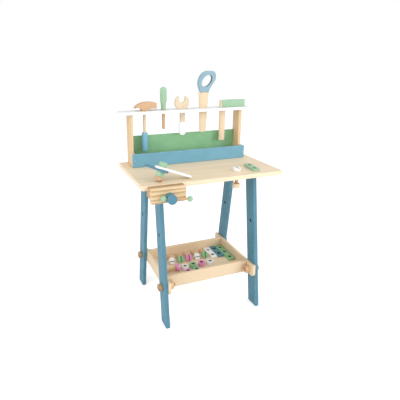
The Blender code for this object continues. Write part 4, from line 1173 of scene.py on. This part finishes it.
saw_handle = stood(plate(saw_outline, -SAW_HALF, SAW_HALF, [finger_hole], 0.0022, 6), "Y")
piece("saw_handle", placed(saw_handle, saw_place), ring_blue, [socket])

blade_low, _ = turned_between("saw_blade")
blade_top = JOINT - GAP
blade_corners = [
    (-0.0126, blade_low),
    (0.0030, blade_low),
    (0.0090, blade_low + 0.0075),
    (0.0137, 0.0),
    (0.0172, blade_top),
    (TONGUE, blade_top),
    (TONGUE, JOINT + TONGUE),
    (-TONGUE, JOINT + TONGUE),
    (-TONGUE, blade_top),
    (-0.0215, blade_top),
    (-0.0172, 0.0),
    (-0.0150, blade_low + 0.0100),
]
round_by = (0.001, 0.001, 0.002, 0.002, 0.001, 0.0003, 0.0005, 0.0005, 0.0003, 0.001, 0.002, 0.002)
blade = plate(fillet(blade_corners, round_by, 4), -BLADE_HALF, BLADE_HALF, ease=0.0009, grain="v")
piece("saw_blade", placed(stood(blade, "Y"), saw_place), pine)

# %% Try square
STOCK_HIGH = 0.0262
STOCK_HALF = 0.0065
BLADE_EDGE = 0.0250
SQUARE_HALF = 0.004
piece("square_stock", board("square_stock", 0.0014, 0.0016), mint)
blade_end, _ = turned_between("square_blade")
square_place = at(square_x, tools_y, tool_z)
start, stop = END_BLOCK
blade = rectangle(start, BLADE_EDGE, blade_end, -GAP, 0.0012)
blade = plate(blade, -SQUARE_HALF, SQUARE_HALF, ease=0.0011, grain="v")
lap = rectangle(start + 0.0004, stop - 0.0006, -SQUARE_HALF, STOCK_HIGH - 0.002, 0.0004, 1)
lap = prism(lap, 0.0005 - SQUARE_HALF, SQUARE_HALF - 0.0005)
block = rectangle(start, stop, 0.0, STOCK_HIGH, 0.0012)
block = plate(block, -STOCK_HALF, STOCK_HALF, ease=0.0012, grain="v")
blade, lap, block = (placed(stood(skin, "Y"), square_place) for skin in (blade, lap, block))
piece("square_blade", blade, pine, adds=[lap, block])

# %% [markdown]
# ## Strips and the things on the table
#
# A strip is a flat board with a hole every 40 mm, long enough to be bolted to another. On the table there
# is a bolt through the top with its nut below, a strip lying flat, and a small build: a bolt standing on
# the edge of its head, two nuts, and two strips of which the long one reaches down to the table.

# %% Strips
STRIP_HALF = 0.0125
STRIP_THICK = 0.007
STRIP_PITCH = 0.040


def strip(holes, from_first=False):
    """A strip along local X, from 0 to its thickness. Its middle, or its first hole, is at the origin."""
    left = -STRIP_PITCH / 2 if from_first else -holes * STRIP_PITCH / 2
    outline = rectangle(left, left + holes * STRIP_PITCH, -STRIP_HALF, STRIP_HALF, 0.004, 6)
    rounds = [oval((left + (k + 0.5) * STRIP_PITCH, 0.0), BORE, BORE, steps=44) for k in range(holes)]
    return plate(outline, 0.0, STRIP_THICK, rounds, 0.0010, 4)


def spun(degrees):
    return Matrix.Rotation(math.radians(degrees), 4, "Z")


table_z = top_high[2] + GAP
table_nut_low = box("table_nut")[0][2]
hanging = at(*TABLE_BOLT, table_z, facing("-Z"))
toy_bolt("table_bolt", TABLE_BOLT_LENGTH, (white, brown_beech), hanging, 1.0)
toy_nut("table_nut", at(*TABLE_BOLT, table_nut_low), birch)
flat_strip = placed(strip(2), at(*TABLE_STRIP, table_z, spun(TABLE_STRIP_HEADING)))
piece("table_strip", flat_strip, mint)

# %% The small build
lower_nut = HEAD_THICK + GAP
lower_strip = lower_nut + NUT_THICK + GAP
upper_strip = lower_strip + STRIP_THICK + GAP
upper_nut = upper_strip + STRIP_THICK + GAP
lean = math.atan(upper_strip / (2.5 * STRIP_PITCH - HEAD))
leaning = spun(BUILD_HEADING) @ Matrix.Rotation(lean, 4, "Y")
stand = at(*BUILD, table_z + HEAD * math.sin(lean), leaning)
toy_bolt("build_bolt", BUILD_BOLT_LENGTH, driver_beech, stand @ at(0, 0, HEAD_THICK))
stack = (("nut_lower", nut(), lower_nut, 20, mint), ("strip_blue", strip(2, True), lower_strip, 110, blue))
stack += (("strip_white", strip(3, True), upper_strip, -15, white), ("nut_upper", nut(), upper_nut, 5, mint))
for word, skin, height, heading, finish in stack:
    piece("build_" + word, placed(skin, stand @ at(0, 0, height, spun(heading))), finish)

# %% [markdown]
# ## What lies in the tray
#
# Five bolts lie in a row with their painted heads to the front, one lies across, and three strips lie side
# by side at the right. A bolt on its side rests on its head's rim and its shaft's tip, so it droops by
# atan((rest - shaft) / length). Six nuts are scattered in front of the row. They stay with the bench.

# %% Loose pieces
LOOSE_BOLT = 0.045
BOLT_ROW = 0.034  # how far the row's heads stand behind the middle
LONE_BOLT = (-0.090, -0.024)
floor_top = box("tray_floor")[1][2] + GAP


def lying(x, y, heading, sided, spin):
    rest = head_reach(sided)
    droop = math.atan((rest - SHAFT) / LOOSE_BOLT)
    turn = spun(heading) @ Matrix.Rotation(math.pi / 2 + droop, 4, "Y") @ spun(spin)
    return at(x, bench_y + y, floor_top + rest * math.cos(droop), turn)


row = (("white_1", -0.0863, 1.0, white), ("green_1", -0.0516, 0.0, green), ("pink_1", -0.0186, 0.0, pink))
row += (("white_2", 0.0156, 1.0, white), ("green_2", 0.0486, 0.0, green))
for word, x, sided, finish in row:
    where = lying(x, BOLT_ROW, 90, sided, 0 if sided else 90)
    toy_bolt("loose_bolt_" + word, LOOSE_BOLT, (finish, driver_beech), where, sided)
where = lying(*LONE_BOLT, 180, 0.0, 90)
toy_bolt("loose_bolt_pink_2", LOOSE_BOLT, (pink, driver_beech), where)

strips = (("white", 2, 0.0835, 0.0500, white), ("blue", 2, 0.1110, 0.0505, blue))
strips += (("green", 3, 0.1378, 0.0322, green),)
for word, holes, x, y, finish in strips:
    where = at(x, bench_y + y, floor_top, spun(90))
    piece("loose_strip_" + word, placed(strip(holes), where), finish)

nuts = (("white_1", -0.0557, -0.0245, white), ("pink_1", -0.0566, -0.0582, pink))
nuts += (("green_1", -0.0218, -0.0213, green), ("green_2", -0.0236, -0.0576, green))
nuts += (("pink_2", 0.0127, -0.0203, pink), ("white_2", 0.0468, -0.0230, white))
for word, x, y, finish in nuts:
    where = at(x, bench_y + y, floor_top, spun(float(dice.uniform(0, 60))))
    toy_nut("build_nut_upper", where, finish, name="loose_nut_" + word)

# %% [markdown]
# ## Floor, light and camera
#
# The floor is plain and white. Most of the light is an even, slightly cool sky, as in a white studio. Four
# soft lamps give it direction: one high on the left, one low on the left, a stronger one on the right, and
# a faint one low in front that reaches into the tray. To the camera the sky is pure white, and the floor
# glows a little, so that the bench stands on white with only soft shadows.

# %% Floor
FLOOR_GLOW = 0.35  # only where the camera looks
floor_mesh = bpy.data.meshes.new("floor")
floor_mesh.from_pydata([(-9, -9, 0), (9, -9, 0), (9, 9, 0), (-9, 9, 0)], [], [(0, 1, 2, 3)])
floor = bpy.data.objects.new("floor", floor_mesh)
bpy.context.scene.collection.objects.link(floor)
floor.location.z = -0.0002
floor_white, tree, inputs = new_finish("floor white")
seen = add(tree, "LightPath").outputs["Is Camera Ray"]
feed(tree, inputs, {"Base Color": (0.90, 0.90, 0.90, 1), "Roughness": 0.8})
glow = sums(tree, "MULTIPLY", seen, FLOOR_GLOW)
feed(tree, inputs, {"Emission Color": (1, 1, 1, 1), "Emission Strength": glow})
floor_mesh.materials.append(floor_white)


# %% Light
def lamp(name, place, target, size, power):
    made = bpy.data.objects.new(name, bpy.data.lights.new(name, "AREA"))
    made.data.shape = "DISK"
    made.data.size = size
    made.data.energy = power
    made.location = place
    made.rotation_euler = (Vector(target) - Vector(place)).to_track_quat("-Z", "Y").to_euler()
    bpy.context.scene.collection.objects.link(made)


lamp("high light", (-1.6, -1.5, 2.4), (0.0, 0.0, 0.45), 1.6, 15.5)
lamp("left light", (-2.6, -0.5, 1.0), (0.0, 0.0, 0.40), 1.8, 21)
lamp("right light", (1.9, -1.6, 1.3), (0.0, 0.0, 0.40), 1.8, 32)
lamp("front light", (0.3, -2.7, 1.1), (0.0, 0.0, 0.20), 1.6, 9)

world = bpy.data.worlds.new("studio")
world.use_nodes = True
bpy.context.scene.world = world
tree = world.node_tree
tree.nodes.clear()
rays = add(tree, "LightPath").outputs["Is Camera Ray"]
shown = add(tree, "Background", {}, {"Color": (1, 1, 1, 1), "Strength": 1.0})
lighting = add(tree, "Background", {}, {"Color": (0.93, 0.96, 1.0, 1), "Strength": 0.82})
both = add(tree, "MixShader", {}, {0: rays, 1: lighting, 2: shown})
add(tree, "OutputWorld", {}, {"Surface": both})
bpy.context.scene.view_settings.view_transform = "Standard"

# %% Camera
camera = bpy.data.objects.new("camera", bpy.data.cameras.new("camera"))
camera.location = (-0.5363, -1.1462, 0.8548)
camera.rotation_euler = (math.radians(73.618), 0.0, math.radians(-20.785))
camera.data.sensor_width = 36.0
camera.data.lens = 34.37
camera.data.shift_x = 0.0673
camera.data.shift_y = -0.0684
bpy.context.scene.collection.objects.link(camera)
bpy.context.scene.camera = camera
